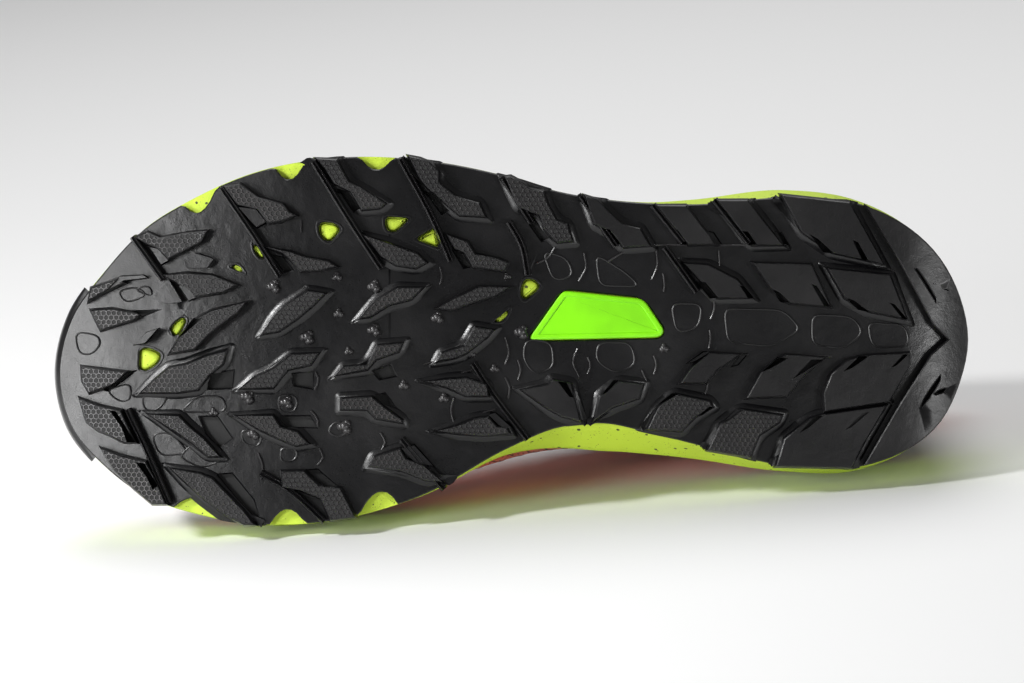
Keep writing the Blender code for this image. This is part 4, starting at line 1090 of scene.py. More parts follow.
    # The heel plate's front edge, from the outer side over the point of the chevron to the inner side
    heel_front: tuple = (
        ((11.6, 35.4), (7.7, 19.5), (4.1, 3), (2.4, -1.2), (4.3, -5.3), (7.7, -18.4), (11.6, -35))
    )
    slots: tuple = (
        ((86.4, 13.4), (85.7, 13.2), (84.5, 10.2), (85.3, 9.4)),
        ((89.6, 23.8), (88.8, 23.4), (87.6, 20.3), (88.4, 19.2)),
        ((79.8, 34.6), (77.9, 34), (76.8, 30.6), (77.8, 29.2), (78.4, 30.6)),
        ((68.9, 39.6), (67.8, 38.8), (66.4, 34.2), (67.2, 33.4)),
        ((59.4, 38.8), (58.4, 38.4), (56.9, 33.6), (57.6, 32.8)),
        ((49.2, 33.8), (48.2, 33), (45.9, 26.2), (46.7, 25.4)),
        ((56.4, 23), (55.6, 22.4), (54.4, 18.6), (55.2, 18.2)),
        ((76.2, 21.6), (75, 21), (73.9, 17.6), (74.8, 17.2)),
        ((85.8, 0.2), (83.8, 4.6), (84.8, 4.4), (86.6, -1)),
        ((83, -10.6), (80.4, -9.6), (80.6, -14.4), (83.2, -14.6)),
        ((74, -10.5), (71.7, -10), (71.7, -14.5), (73.8, -13.6)),
        ((65.2, -9.8), (63.2, -8), (62.6, -11), (64.4, -12)),
        ((84.2, -22.2), (82.2, -22.2), (80.6, -28), (82, -30.4), (83.4, -27)),
        ((75.6, -22), (72, -22), (71.3, -25), (74.6, -24.8)),
        ((65, -16.4), (63.8, -15.8), (62.7, -19.4), (64, -18.8)),
        ((82.2, -37.8), (80.6, -37.6), (78.2, -44.8), (77.4, -50.6), (79.8, -45)),
        ((72.3, -36.6), (71.2, -36.4), (69, -41), (70.4, -41)),
        ((62, -30.6), (60.6, -29.8), (58.6, -35.2), (60.4, -34.6)),
        ((52.5, -21.6), (51.8, -21), (50, -25), (51, -25)),
        ((93, 15.9), (90.4, 16.2), (90, 15.6), (92.6, 14.9), (94.8, 11.6)),
        ((91.6, 6.6), (88.6, 6.9), (90.6, 5.2)),
        ((91.4, -2.6), (90, 0.6), (88.7, 1.8), (90.2, -2.2)),
        ((92.2, -10.2), (91.2, -9.6), (94.4, -15.2), (94.9, -14.9), (93.4, -12.6)),
        ((94.2, -20.4), (93.4, -20.7), (91.2, -29.2), (92.2, -29.2), (92.8, -25)),
        ((91.2, -34.6), (90.2, -34.8), (88.7, -41), (89.3, -42), (90, -38.5)),
        ((40.2, 28.9), (39.3, 28.4), (38.3, 24.1), (39, 24)),
        ((32.7, 28.8), (31.9, 28.3), (30.8, 24.5), (31.6, 24.4)),
        ((25.4, 28.1), (24.3, 27.9), (23.3, 24.4), (24.2, 24.3)),
        ((17.6, 27.2), (16.7, 26), (14.9, 22), (16, 22.4)),
        ((28.8, 28), (28, 27.6), (27.2, 24.6), (28, 24.5)),
        ((21.4, 28), (20.6, 27.6), (19.8, 24.4), (20.6, 24.4)),
        ((12.9, 25.6), (12.3, 25), (11.2, 20.2), (11.9, 20.4)),
        ((29.9, 14.6), (28.9, 14.2), (27.5, 10), (28.4, 9.9)),
        ((25.2, 13.4), (24.6, 13), (23.6, 10.1), (24.3, 10)),
        ((21.6, 12.4), (20.8, 11.4), (19.6, 8.6), (20.6, 9.2)),
        ((17.4, 13.8), (16.8, 13.2), (15.3, 7.6), (16, 7.8)),
        ((13.6, 10), (12.8, 9.4), (11, 6.2), (12.2, 6.8)),
        ((8.9, 8.8), (8.3, 8.2), (6.9, 4.2), (7.5, 4.5)),
        ((45, -12.5), (44, -12.8), (43.2, -16.9), (43.7, -16.7)),
        ((40.2, -16.2), (39.6, -15.4), (38.3, -12.2), (38.9, -12.2)),
        ((34.1, -18.9), (33.3, -18), (31.8, -15.9), (32.5, -15.7)),
        ((29.8, -22), (29.2, -21.6), (28, -19.4), (28.5, -19.3)),
        ((27.1, -23.9), (26.3, -23), (24.8, -20.2), (25.5, -20.1)),
        ((18.7, -26.4), (17.8, -25.2), (16.1, -21.7), (17, -21.9)),
        ((13.7, -25.6), (13, -24.8), (11.1, -20.8), (11.8, -21)),
        ((30.8, -7.6), (30, -7), (28.4, -4.6), (29.1, -4.7)),
        ((25.9, -8.4), (25.3, -7.9), (24.3, -5.1), (24.9, -5.2)),
        ((22.8, -10), (21.8, -9), (19.9, -6.3), (20.9, -6.1)),
        ((19.4, -11.8), (18.4, -10.4), (16, -6.6), (17.4, -6.6)),
        ((13.9, -9.8), (13, -9), (11.1, -5.7), (12.2, -5.8)),
        ((8.7, -8.8), (8.1, -8.2), (6.8, -5.2), (7.4, -5.3)),
    )
    heel_slits: tuple = (
        ((6.4, 19.5), (5.0, 14.4), (3.6, 8.6)),
        ((4.2, 14.2), (3.3, 13.0), (2.5, 12.1)),
        ((5.5, -19.5), (4.5, -16), (3.1, -10.8)),
        ((3.9, -16.0), (3.2, -15.2), (2.5, -14.5)),
    )
    # Thin tall fins at the leading edge of each row
    fins: tuple = (
        ((91.6, 26.8), (88.2, 15.2)),
        ((81.7, 39.9), (78.1, 26.9), (75.3, 16.0)),
        ((71.6, 46.9), (67, 28.5), (64.2, 18)),
        ((62.1, 47.6), (58.4, 30.5), (56.6, 20)),
        ((50.9, 42.4), (47.8, 30.4)),
        ((50.3, 30.6), (48.9, 24.5), (48.2, 16.2)),
        ((92.2, -20.2), (90, -31.5), (87.5, -45.6)),
        ((77.4, -37.4), (74.4, -41.5), (70.4, -50.4)),
        ((62, -28), (60.2, -33.4), (57.3, -41.6)),
        ((54.2, -7.6), (52, -16), (48.2, -28.2)),
        ((42.4, 37.6), (39.9, 28.5), (38.6, 24)),
        ((34.6, 35.2), (31.3, 25)),
        ((27.9, 36.6), (24.1, 24.8)),
        ((33.3, 23.8), (29.8, 11.6)),
    )
    ribs: tuple = (
        ((73, 31.2), (73, 27.8)),
        ((47.3, 19.3), (46, 21), (45.3, 23.7)),
        ((42.1, 22.2), (41.9, 18.3), (42.7, 14.5)),
        ((34.2, 22.8), (34.1, 19), (34.7, 15.1)),
        ((33.5, 16.7), (33.3, 14), (33.4, 11.7)),
        ((27.4, 22.8), (27.3, 19), (27.5, 15.8)),
        ((27.9, 9.4), (27.9, 7), (28.3, 4.3)),
        ((57.8, 18.3), (57.6, 16), (57.8, 13.7)),
        ((50.7, -0.5), (50.3, -4.8), (50.7, -7.9)),
        ((50.7, -11.4), (50.2, -14.4), (50.4, -17.2)),
        ((49.3, -6.7), (49, -9.4), (49.3, -12.1)),
        ((42.8, -3.6), (43.3, -7), (42.6, -11.4)),
        ((41.7, -5.9), (41.4, -8), (41.7, -10.5)),
        ((35.8, -9.4), (35.3, -13.3), (36.2, -15)),
        ((34.5, -5.5), (34.2, -8), (34.5, -10.6)),
        ((28.4, 1.4), (28.3, -1), (28.5, -3.6)),
        ((28.7, -11.4), (28.6, -14), (28.9, -16)),
        ((71.4, -10), (71.1, -12), (71.5, -14.8)),
        ((71.9, -20.5), (71.2, -22.6), (71.2, -24.8)),
        ((71, -30.6), (70.6, -33), (71.2, -35.2)),
        ((77.7, -32), (77.2, -35.6), (77.4, -39.2)),
        ((64.3, -26.4), (63.8, -29), (64.3, -31.5)),
        ((56.3, -17), (56.6, -20.2), (56.3, -23.7)),
        ((36, 24.3), (20, 24.3)),
        ((15.1, 22.1), (11.6, 20.2), (8.2, 17.3)),
        ((19.9, -5.3), (15, -5.8)),
        ((53.1, -21), (51.7, -20)),
        ((59.6, -8), (58.2, -7)),
        ((55.5, -10.2), (54.3, -9.4)),
        ((39.5, 19.8), (37.4, 23)),
        ((16.2, -21.3), (8.2, -18.4)),
    )
    pads: tuple = (
        ((98.2, 1), (95.6, 0), (95.3, -2.7), (96.4, -5.4), (97.8, -5)),
        ((94.7, -15.1), (91.9, -13), (91.9, -17.5), (93.1, -18.3)),
        ((90.6, -15.9), (87.6, -16.4), (88.8, -20.5), (90.4, -20.5)),
        ((86.4, -21), (84.4, -16.6), (81.6, -16.6), (81.2, -20.8)),
        ((87.4, -26.4), (85.4, -32), (88.6, -33), (89.6, -27)),
        ((84.6, -29), (81.6, -34), (84, -36.2), (86.6, -33)),
        ((96.8, -21), (96.2, -25.6), (95, -24.8), (95.2, -21)),
        ((93.4, 12), (91.2, 13.2), (90, 11), (92.4, 8.6)),
        ((91.6, 12.4), (89.8, 13.6), (89.4, 10.4)),
        ((79.6, -25.4), (77.3, -26.6), (77.6, -30.4), (79.4, -29.4)),
        ((75.5, -15.9), (73.4, -16.4), (73.6, -20.8), (75.4, -20.8)),
        ((75.3, -30.4), (73.4, -30.8), (73.6, -34), (75.2, -34.4)),
        ((69.1, -23), (67.2, -24.8), (68.8, -27.9), (70.2, -26)),
        ((48.4, -1), (45.6, -2), (45.4, -9), (47.6, -10.6), (48.8, -6)),
        ((40.6, -2), (37, -2), (36.4, -8), (38.6, -10.4), (40.8, -7)),
        ((46.6, 22.6), (44, 21), (43.2, 16), (45.4, 14.6)),
        ((40.8, 21.8), (37.6, 17), (36, 13.2), (40.4, 13.4)),
        ((32.6, 8.6), (29.2, 8.4), (29.6, 2), (32, 0.6)),
        ((26.8, 7.2), (20.4, 6.8), (18.4, 1.6), (21.6, -3), (26.4, -2)),
        ((17.2, 5.6), (12.8, 5), (11.6, 0.6), (13.8, -3.6), (17.2, -2.6)),
        ((11.2, 3.4), (7, 2.6), (6.6, -3), (10.6, -3.4)),
    )
    # Small glossy clusters: along and across in percent, size in metres
    knobs: tuple = (
        (65.0, 13.3, 0.0018),
        (65.0, 1.5, 0.0018),
        (58.1, 4.8, 0.0017),
        (67.8, -4.3, 0.0012),
        (68.2, -24.7, 0.0020),
        (68.9, 6.0, 0.0014),
        (50.5, 15.9, 0.0011),
        (54.4, -5.0, 0.0012),
        (48.9, 0.9, 0.0020),
        (76.0, 13.3, 0.0019),
        (72.3, -0.4, 0.0020),
        (78.9, -16.5, 0.0021),
        (74.6, -18.1, 0.0019),
        (78.3, -26.6, 0.0018),
        (82.7, -20.8, 0.0013),
        (69.1, 15.9, 0.0014),
        (57.4, -17.0, 0.0014),
        (61.8, -13.5, 0.0014),
        (51.9, -9.0, 0.0013),
        (33.4, -3.5, 0.0013),
    )
    windows: tuple = (
        ((87.6, 14.2), (86.4, 9.5), (87.6, 9.2), (88.9, 10), (88.6, 12)),
        ((87.2, 2.9), (86.1, 5), (85.6, 4), (86.6, -0.6), (87.6, 0.7)),
        ((90.9, -3.4), (89.6, -3.6), (88.3, -5.4), (89, -8.2), (90.3, -9.9), (91, -9.3)),
        ((85.6, 20.2), (84.8, 21.8), (82.9, 20.3), (83.4, 18.7), (85.5, 18.7)),
        ((80.9, 18.5), (80, 19.3), (79.1, 16.6)),
        ((78.3, 25.2), (76.7, 21.3), (77.4, 20.5), (78.2, 22.9)),
        ((71.1, 30.6), (69.5, 30.4), (68.5, 28.7), (69.9, 24.8), (71, 27)),
        ((63.9, 32.1), (61, 31.6), (62.7, 27.7), (63.7, 28.3)),
        ((60.6, 26), (58.1, 29.4), (57.8, 23.4)),
        ((48.7, 15.1), (47.6, 15.2), (46.7, 13.1), (48.6, 9.2), (49.1, 11.4)),
        ((52.1, 3.4), (50.8, 3.8), (50.1, 7.5)),
    )
    # Bites out of the rubber's edge: along at both ends and how deep
    outer_bites: tuple = ((85.9, 82.4, 4.5), (75.8, 72.6, 4.2), (66.5, 63.0, 3.5))
    inner_bites: tuple = ((87.0, 81.0, 4.5), (76.4, 72.6, 4.2), (66.6, 62.4, 5.0))
    window_radius: float = 0.0022


@dataclass
class Outsole:
    """The black rubber: a bent sheet with openings, its blocks, fins, ribs and pads, and the toe guard."""

    tread: Tread = field(default_factory=Tread)
    # Two copies of one rubber: the sheet, walls, ramps and fine forms take the darker one, painted shade
    # between the blocks; block tops, heel plate and pad rims take the lighter one, for dust and partly painted
    # light
    rubber: Rubber = Rubber("tread_rubber", (0.0022, 0.0021, 0.0026), (0.0055, 0.0052, 0.0056))
    tops: Rubber = Rubber("block_rubber", (0.0052, 0.0050, 0.0054), (0.0105, 0.0098, 0.0100), 0.33)
    cells: Rubber = Rubber("tread_cells", cell_pitch=0.00165)
    # Painted highlight: a much lighter rubber for the fins' twin beads, the ribs and the knobs, so they read as
    # lines and spots of light
    edge: Rubber = Rubber("highlight_edge_rubber", (0.020, 0.019, 0.020), (0.045, 0.043, 0.043), 0.24)
    # Painted shade: a darker, matte rubber for the slot floors, so the slots read as deep shade
    dark: Rubber = Rubber("slot_shade_rubber", (0.002, 0.002, 0.002), (0.004, 0.004, 0.004), 0.7)
    rim_bevel: float = 0.0004
    plate_sink: float = 0.0004
    slit_side: np.ndarray = field(default_factory=lambda: np.array((0.0006, 0.0003)))
    slice_step: float = 0.004
    fill_inside: int = 4
    same_point: float = 1e-6
    fin_width: float = 0.0007
    fin_height: float = 0.0036
    rib_width: float = 0.0007
    rib_height: float = 0.0008
    pad_height: float = 0.00025
    rim_height: float = 0.0006
    guard_wall: float = 0.0009
    guard_height: float = 0.013
    guard_share: float = 0.085
    guard_gap: float = 0.0005
    guard_tuck: float = 0.0016
    insert_margin: float = 0.0003
    hump_spread: float = 0.0021
    hump_height: float = 0.0012
    hump_corner: float = 0.0022
    fin_gap: float = 0.0011
    fin_web: float = 0.0026
    line_spacing: float = 0.0015
    pad_corner: float = 0.003
    window_lip: float = 0.0006
    lip_width: float = 0.0008
    lip_height: float = 0.0003
    floor_lap: float = 0.0004
    floor_wall: float = 0.0002
    # How a cluster's turn follows from its size, so that no two look alike
    knob_turn: float = 900
    guard_columns: int = 97
    guard_rows: int = 14

    def materials(self) -> list[bpy.types.Material]:
        """Return the finishes in the order of Top's values."""
        return [self.plain_material, self.cell_material, self.top_material]

    def build(self) -> None:
        """Make every piece of the rubber."""
        self.plain_material = self.rubber.material()
        self.cell_material = self.cells.material()
        self.top_material = self.tops.material()
        self.slot_shade_material = self.dark.material()
        self.highlight_edge_material = self.edge.material()
        self.sheet()
        self.blocks()
        self.thin_forms()
        self.toe_guard()

    def outline(self) -> np.ndarray:
        """Return the rubber's edge with its bites, in the sole's plan."""
        line = LAST.outline[::3].copy()
        turns = len(line)
        along = line[:, 0] / LAST.length
        toe = int(np.argmax(along))
        sides = (
            (np.arange(0, toe), self.tread.outer_bites, 1),
            (np.arange(toe, turns), self.tread.inner_bites, -1),
        )
        for rows, bites, sign in sides:
            for start, end, depth in bites:
                start, end, depth = start * PERCENT, end * PERCENT, depth * PERCENT * LAST.ball
                share = (start - along[rows]) / (start - end)
                inside = (share > 0) & (share < 1)
                bite = np.sin(math.pi * np.clip(share, 0, 1)) ** 0.8
                line[rows, 1] -= np.where(inside, sign * depth * bite, 0)
        return line

    def bent_plate(
        self,
        name: str,
        outline: np.ndarray,
        holes: list[np.ndarray],
        thick: float,
        depth: float,
        material: bpy.types.Material,
    ) -> None:
        """Make a plate with holes that follows the sole's bend, bevelled on the ground side.

        Args:
            name: The piece's name.
            outline: The plate's edge in the sole's plan.
            holes: The edges of its openings.
            thick: Its thickness in metres.
            depth: How far its upper side lies above the level of the tips.
            material: Its finish.
        """
        bevel = self.rim_bevel
        contours = [(outline, -bevel)] + [(hole, bevel) for hole in holes]
        bm = bmesh.new()
        for low, high, grown_low, grown_high in ((0, thick - bevel, 0, 0), (thick - bevel, thick, 0, 1)):
            for contour, grow in contours:
                rings = []
                for height, grown in ((low, grown_low), (high, grown_high)):
                    ring = offset_outline(contour, grow * grown)
                    rings.append([bm.verts.new((x, y, height)) for x, y in ring])
                for k in range(len(contour)):
                    n = (k + 1) % len(contour)
                    bm.faces.new((rings[0][k], rings[0][n], rings[1][n], rings[1][k]))
        for height, grown in ((0, 0), (thick, 1)):
            points, edges = [], []
            for contour, grow in contours:
                first, count = len(points), len(contour)
                points += [Vector(point) for point in offset_outline(contour, grow * grown)]
                edges += [(first + k, first + (k + 1) % count) for k in range(count)]
            corners, _, faces, *_ = delaunay_2d_cdt(points, edges, [], self.fill_inside, self.same_point)
            verts = [bm.verts.new((x, y, height)) for x, y in corners]
            for face in faces:
                middle = sum((corners[k] for k in face), Vector((0, 0))) / len(face)
                if not any(encloses(hole, middle) for hole in holes):
                    bm.faces.new([verts[k] for k in face])
        bmesh.ops.remove_doubles(bm, verts=bm.verts, dist=self.same_point)
        for x in np.arange(self.slice_step, LAST.length, self.slice_step):
            geometry = list(bm.verts) + list(bm.edges) + list(bm.faces)
            at = {"plane_co": (x, 0, 0), "plane_no": (1, 0, 0), "dist": self.same_point}
            bmesh.ops.bisect_plane(bm, geom=geometry, **at)
        mesh = bpy.data.meshes.new(name)
        bm.to_mesh(mesh)
        bm.free()
        flat = np.empty(len(mesh.vertices) * 3)
        mesh.vertices.foreach_get("co", flat)
        flat = flat.reshape(-1, 3)
        along = flat[:, 0] / LAST.length
        bent = LAST.to_row(LAST.place(along, flat[:, 1], LAST.ground(along) + depth - flat[:, 2]))
        mesh.vertices.foreach_set("co", bent.ravel())
        mesh.materials.append(material)
        finish_piece(face_out(linked(name, mesh)), "outsole", 30)

    def sheet(self) -> None:
        """Make the bent sheet with the openings for foam, slots and insert, and the heel plate on it."""
        holes = [rounded(percent(points), self.tread.window_radius) for points in self.tread.windows]
        holes += [percent(points) for points in self.tread.slots]
        holes.append(offset_outline(SoleInsert().outline(), self.insert_margin))
        depth = LAST.lug_height + LAST.rubber
        self.bent_plate("rubber_sheet", self.outline(), holes, LAST.rubber, depth, self.plain_material)
        slits = []
        for points in self.tread.heel_slits:
            path = smooth_path(percent(points), 0.002)
            taper = np.sin(math.pi * np.linspace(0.1, 0.9, len(path)))[:, None]
            side = self.slit_side * taper
            slits.append(np.concatenate([path + side, path[::-1] - side[::-1]]))
        thick = LAST.lug_height + self.plate_sink
        self.bent_plate("heel_plate", self.heel_plate(), slits, thick, thick, self.top_material)

    def heel_plate(self) -> np.ndarray:
        """Return the outline of the smooth horseshoe behind the chevron."""
        front = percent(self.tread.heel_front)
        limit = front[0, 0]
        line = offset_outline(LAST.outline[::6], -LAST.gap)
        back = [point for point in np.roll(line, len(line) // 2, axis=0) if point[0] < limit]
        return np.concatenate([front, np.array(back)])

    def tool(self, name: str, outlines: list[np.ndarray], low: float) -> bpy.types.Object:
        """Return the solid that cuts outlines out of what stands on the sheet, down to a depth."""
        relief = Relief(draft=0, bevel=0)
        high = LAST.lug_height + LAST.rubber / 2
        for outline in outlines:
            relief.stack([(outline, high), (outline, low)])
        return relief.piece(name, [self.slot_shade_material])

    def blocks(self) -> None:
        """Make the tread blocks and the floors of the slots between them."""
        relief = Relief()
        root = LAST.lug_height
        humps = Relief(bevel=self.hump_height)
        for lugs, top in ((self.tread.cell_lugs, Top.CELLS), (self.tread.plain_lugs, Top.WORN_AND_LIT)):
            for points in lugs:
                relief.block(percent(points), root, root, top)
                foot = rounded(offset_outline(percent(points), self.hump_spread), self.hump_corner)
                humps.block(within_edge(foot), self.hump_height, root)
        slots = [percent(points) for points in self.tread.slots]
        holes = slots + [offset_outline(percent(points), self.window_lip) for points in self.tread.windows]
        holes.append(offset_outline(SoleInsert().outline(), self.insert_margin))
        foot = humps.piece("tread_humps", self.materials())
        cut(foot, self.tool("hole_tool", holes, root / 4))
        finish_piece(foot, "outsole", 75)
        obj = relief.piece("tread_blocks", self.materials())
        cut(obj, self.tool("slot_tool", slots, -root / 4))
        finish_piece(obj, "outsole", 30)
        # The slot floors take the darker matte rubber, painted shade at the bottom of each slot
        floors = Relief(draft=0, bevel=0.0001, sink=0.0002)
        for slot in slots:
            outline = offset_outline(slot, self.floor_lap)
            floors.block(outline, self.floor_wall, root + LAST.rubber - self.floor_lap)
        finish_piece(floors.piece("slot_floors", [self.slot_shade_material]), "outsole", 30)

    def thin_forms(self) -> None:
        """Make the fins, the thin ribs and the low pads of the tread's ground."""
        fine, edges, rims = Relief(draft=0.0003, bevel=0.0002), Relief(), Relief()
        root = LAST.lug_height
        for points in self.tread.fins:
            path = smooth_path(percent(points), 2 * self.line_spacing)
            side = unit(turned_left(np.gradient(path, axis=0)))
            fine.bead(path, self.fin_web, self.fin_height - self.fin_width, root)
            for sign in (-1, 1):
                edges.bead(path + side * sign * self.fin_gap / 2, self.fin_width, self.fin_height, root)
        for points in self.tread.ribs:
            edges.bead(smooth_path(percent(points), self.line_spacing), self.rib_width, self.rib_height, root)
        for x, y, size in self.tread.knobs:
            self.knob(edges, percent(((x, y),))[0], size)
        for points in self.tread.pads:
            outline = rounded(percent(points), self.pad_corner)
            fine.block(outline, self.pad_height, root)
            rims.bead(outline, self.rib_width, self.rim_height, root, closed=True)
        for points in self.tread.windows:
            lip = rounded(offset_outline(percent(points), self.window_lip), self.tread.window_radius)
            fine.bead(lip, self.lip_width, self.lip_height, root, closed=True)
        # The fins' beads, the ribs and the knobs wear the lighter rubber, a painted highlight
        finish_piece(edges.piece("tread_edges", [self.highlight_edge_material]), "outsole", 30)
        finish_piece(fine.piece("tread_fine", [self.plain_material]), "outsole", 30)
        finish_piece(rims.piece("pad_rims", [self.top_material]), "outsole", 40)

    def knob(self, relief: Relief, centre: np.ndarray, size: float) -> None:
        """Add a cluster of small domes that run into each other."""
        for turn, spread, share in ((0.4, 0.62, 0.62), (2.4, 0.70, 0.78), (4.4, 0.60, 0.70), (0.0, 0.0, 0.9)):
            angle = turn + self.knob_turn * size
            middle = centre + spread * size * np.array([math.cos(angle), math.sin(angle)])
            outlines = []
            for radius, high in ((1.0, -0.3), (0.92, 0.35), (0.72, 0.7), (0.4, 0.93), (0.12, 1.0)):
                angles = np.arange(10) * 2 * math.pi / 10
                ring = middle + share * size * radius * np.stack([np.cos(angles), np.sin(angles)], axis=-1)
                outlines.append((ring, LAST.lug_height - high * share * size))
            relief.stack(outlines)

    def toe_guard(self) -> None:
        """Make the thin wall of rubber that wraps the toe."""
        turns = 1 + np.linspace(-1, 1, self.guard_columns) * self.guard_share
        point, outward, foam = LAST.rim(turns)
        fade = np.cos(0.45 * math.pi * (turns - 1) / self.guard_share)
        front, back = [], []
        for share in np.linspace(0, 1, self.guard_rows) ** 1.6:
            thick = self.guard_wall * (1 - 0.75 * share)
            tuck = self.guard_tuck * (1 - min(1.0, share * 8))
            flare = (foam + self.guard_gap) * min(1.0, share * 2.2) - tuck
            for rowset, extra in ((front, thick), (back, 0.0)):
                plan = point + outward * (flare + extra)[:, None]
                along = plan[:, 0] / LAST.length
                root = LAST.ground(along) + LAST.lug_height + 0.0004 + 0.6 * (self.guard_wall - extra)
                rowset.append(LAST.place(along, plan[:, 1], root + share * (self.guard_height * fade)))
        points, faces = slab(np.stack(front, axis=1), np.stack(back, axis=1))
        obj = face_out(new_piece("toe_guard", points, faces, [self.plain_material]))
        finish_piece(obj, "outsole")


@dataclass
class SoleInsert:
    """The bright plate in the waist, with a raised rim and a bare field."""

    corners: tuple = ((48.2, -1.4), (44.5, 11.6), (43.9, 11.9), (35.6, 9.7), (33.3, 1.2), (33.8, -0.6))
    finish: Gloss = Gloss("insert_plastic", (0.235, 0.80, 0.004))
    corner_radius: float = 0.0022
    rim_width: float = 0.0009
    field_drop: float = 0.00035
    proud: float = 0.0006
    thickness: float = 0.0022

    def outline(self) -> np.ndarray:
        """Return the plate's outline in the sole's plan."""
        return rounded(percent(self.corners), self.corner_radius, 6)

    def build(self) -> None:
        """Make the plate."""
        outline = self.outline()
        top = LAST.lug_height - self.proud
        relief = Relief()
        relief.stack(
            [
                (outline, top + self.thickness),
                (outline, top + 0.0004),
                (offset_outline(outline, -0.0003), top + 0.0001),
                (offset_outline(outline, -0.0006), top),
                (offset_outline(outline, -0.0006 - self.rim_width), top + 0.0001),
                (offset_outline(outline, -0.0009 - self.rim_width), top + self.field_drop),
            ]
        )
        obj = relief.piece("waist_plate", [self.finish.material()])
        finish_piece(obj, "sole_insert", 25)


@dataclass
class Midsole:
    """The foam: a stepped and ribbed side, a ledge, a hollow, and what swells through the windows."""

    foam: Foam = Foam()
    columns: int = 432
    ribs: int = 36
    rib_depth: float = 0.0009
    step_depth: float = 0.0014
    step_height: float = 0.48
    step_width: float = 0.045
    tuck: float = 0.0030
    ledge: float = 0.0084
    cup_slope: float = 0.0020
    cup_depth: float = 0.0070
    cup_floor: float = 0.008
    foot_inset: float = 0.012
    swell: float = 0.0014

    def build(self) -> None:
        """Make the foam and its swellings."""
        material = self.foam.material()
        turns = all_turns(self.columns)
        base = lambda along: LAST.sheet_top(along) + LAST.gap
        rings = [LAST.ring(turns, np.full(len(turns), -self.foot_inset), 0, base)]
        stretches = ((0, 0.40, 11), (0.42, 0.56, 10), (0.60, 0.90, 9))
        heights = np.concatenate([*(np.linspace(*stretch) for stretch in stretches), [0.94, 0.97, 0.99, 1.0]])
        bulge = np.interp(heights, (0, 0.05, 0.16, 0.38, 0.82, 1.0), (0, 0.18, 0.45, 1, 1, 1))
        for height, out in zip(heights, bulge):
            rib = 0.5 + 0.5 * np.cos(2 * math.pi * turns * self.ribs / 2)
            band = np.clip(min((height - 0.52) / 0.06, (0.92 - height) / 0.08), 0, 1)
            step = math.exp(-(((height - self.step_height) / self.step_width) ** 2))
            tuck = self.tuck * np.clip((height - 0.86) / 0.14, 0, 1) ** 2
            shift = -self.rib_depth * (1 - rib) * band - self.step_depth * step - tuck
            level = lambda along, h=height: base(along) + h * (LAST.foam_top(along) - base(along))
            rings.append(LAST.ring(turns, shift, out, level))
        bed = lambda along: LAST.foam_top(along) - self.cup_depth
        for out, height in (
            (-self.ledge, LAST.foam_top),
            (-self.ledge - self.cup_slope, bed),
            (-self.ledge - self.cup_slope - self.cup_floor, bed),
        ):
            rings.append(LAST.ring(turns, np.full(len(turns), out), 1, height))
        points, faces = ring_body(rings)
        obj = face_out(new_piece("foam_body", points, faces, [material]))
        finish_piece(obj, "midsole", 50)
        relief = Relief()
        deep = LAST.lug_height + LAST.rubber + LAST.gap
        tread = Tread()
        for points in tread.windows:
            outline = rounded(percent(points), tread.window_radius)
            profile = ((0.0003, 0), (0.0004, 0.5), (0.0007, 0.85), (0.0013, 1))
            relief.stack([(offset_outline(outline, -inset), deep - up * self.swell) for inset, up in profile])
        finish_piece(relief.piece("foam_windows", [material]), "midsole", 60)


@dataclass
class Insole:
    """A loose footbed in the foam's hollow."""

    cloth: Weave = Weave("footbed_cloth", pitch=0.0011)
    thickness: float = 0.0045
    edge_rounding: float = 0.0012
    columns: int = 288
    skirt_wall: float = 0.0004
    # How far in from the foam's edge and how far below its top the cloth between footbed and upper runs
    skirt: tuple = ((0.0077, -0.0008), (0.0087, -0.0007), (0.0092, 0.0004), (0.0097, 0.0016), (0.0118, 0.0019))

    @staticmethod
    def rings(last: "Last", count: int, rounding: float = 0.0) -> list[np.ndarray]:
        """Return the footbed's rings from its lower face to its upper face."""
        turns = all_turns(count)
        inset = Midsole.ledge + Midsole.cup_slope + last.gap
        low = lambda along: last.foam_top(along) - Midsole.cup_depth + last.gap
        high = lambda along: low(along) + Insole.thickness
        rows = [(-inset - Midsole.cup_floor, low), (-inset, low)]
        if rounding:
            rows.append((-inset, lambda along: high(along) - rounding))
            rows.append((-inset - 0.3 * rounding, lambda along: high(along) - 0.3 * rounding))
            rows.append((-inset - rounding, high))
        else:
            rows.append((-inset, high))
        rows.append((-inset - Midsole.cup_floor, high))
        return [last.ring(turns, np.full(count, out), 1, height) for out, height in rows]

    def build(self) -> None:
        """Make the footbed."""
        points, faces = ring_body(self.rings(LAST, self.columns, self.edge_rounding))
        material = self.cloth.material()
        obj = face_out(new_piece("footbed", points, faces, [material]))
        finish_piece(obj, "insole")
        turns = all_turns(self.columns)
        layers = []
        for drop in (0.0, self.skirt_wall):
            rows = []
            for out, down in self.skirt:
                height = lambda along, d=down + drop: LAST.foam_top(along) - d
                rows.append(LAST.ring(turns, np.full(self.columns, -out), 1, height))
            layers.append(np.stack(rows, axis=1))
        points, faces = slab(*layers, closed=True)
        obj = face_out(new_piece("footbed_skirt", points, faces, [material]))
        finish_piece(obj, "insole", 60)


class Crease(NamedTuple):
    """A soft trough across the vamp: its middle, its reach and how deep it is."""

    share: float
    level: float
    wide: float
    tall: float
    depth: float


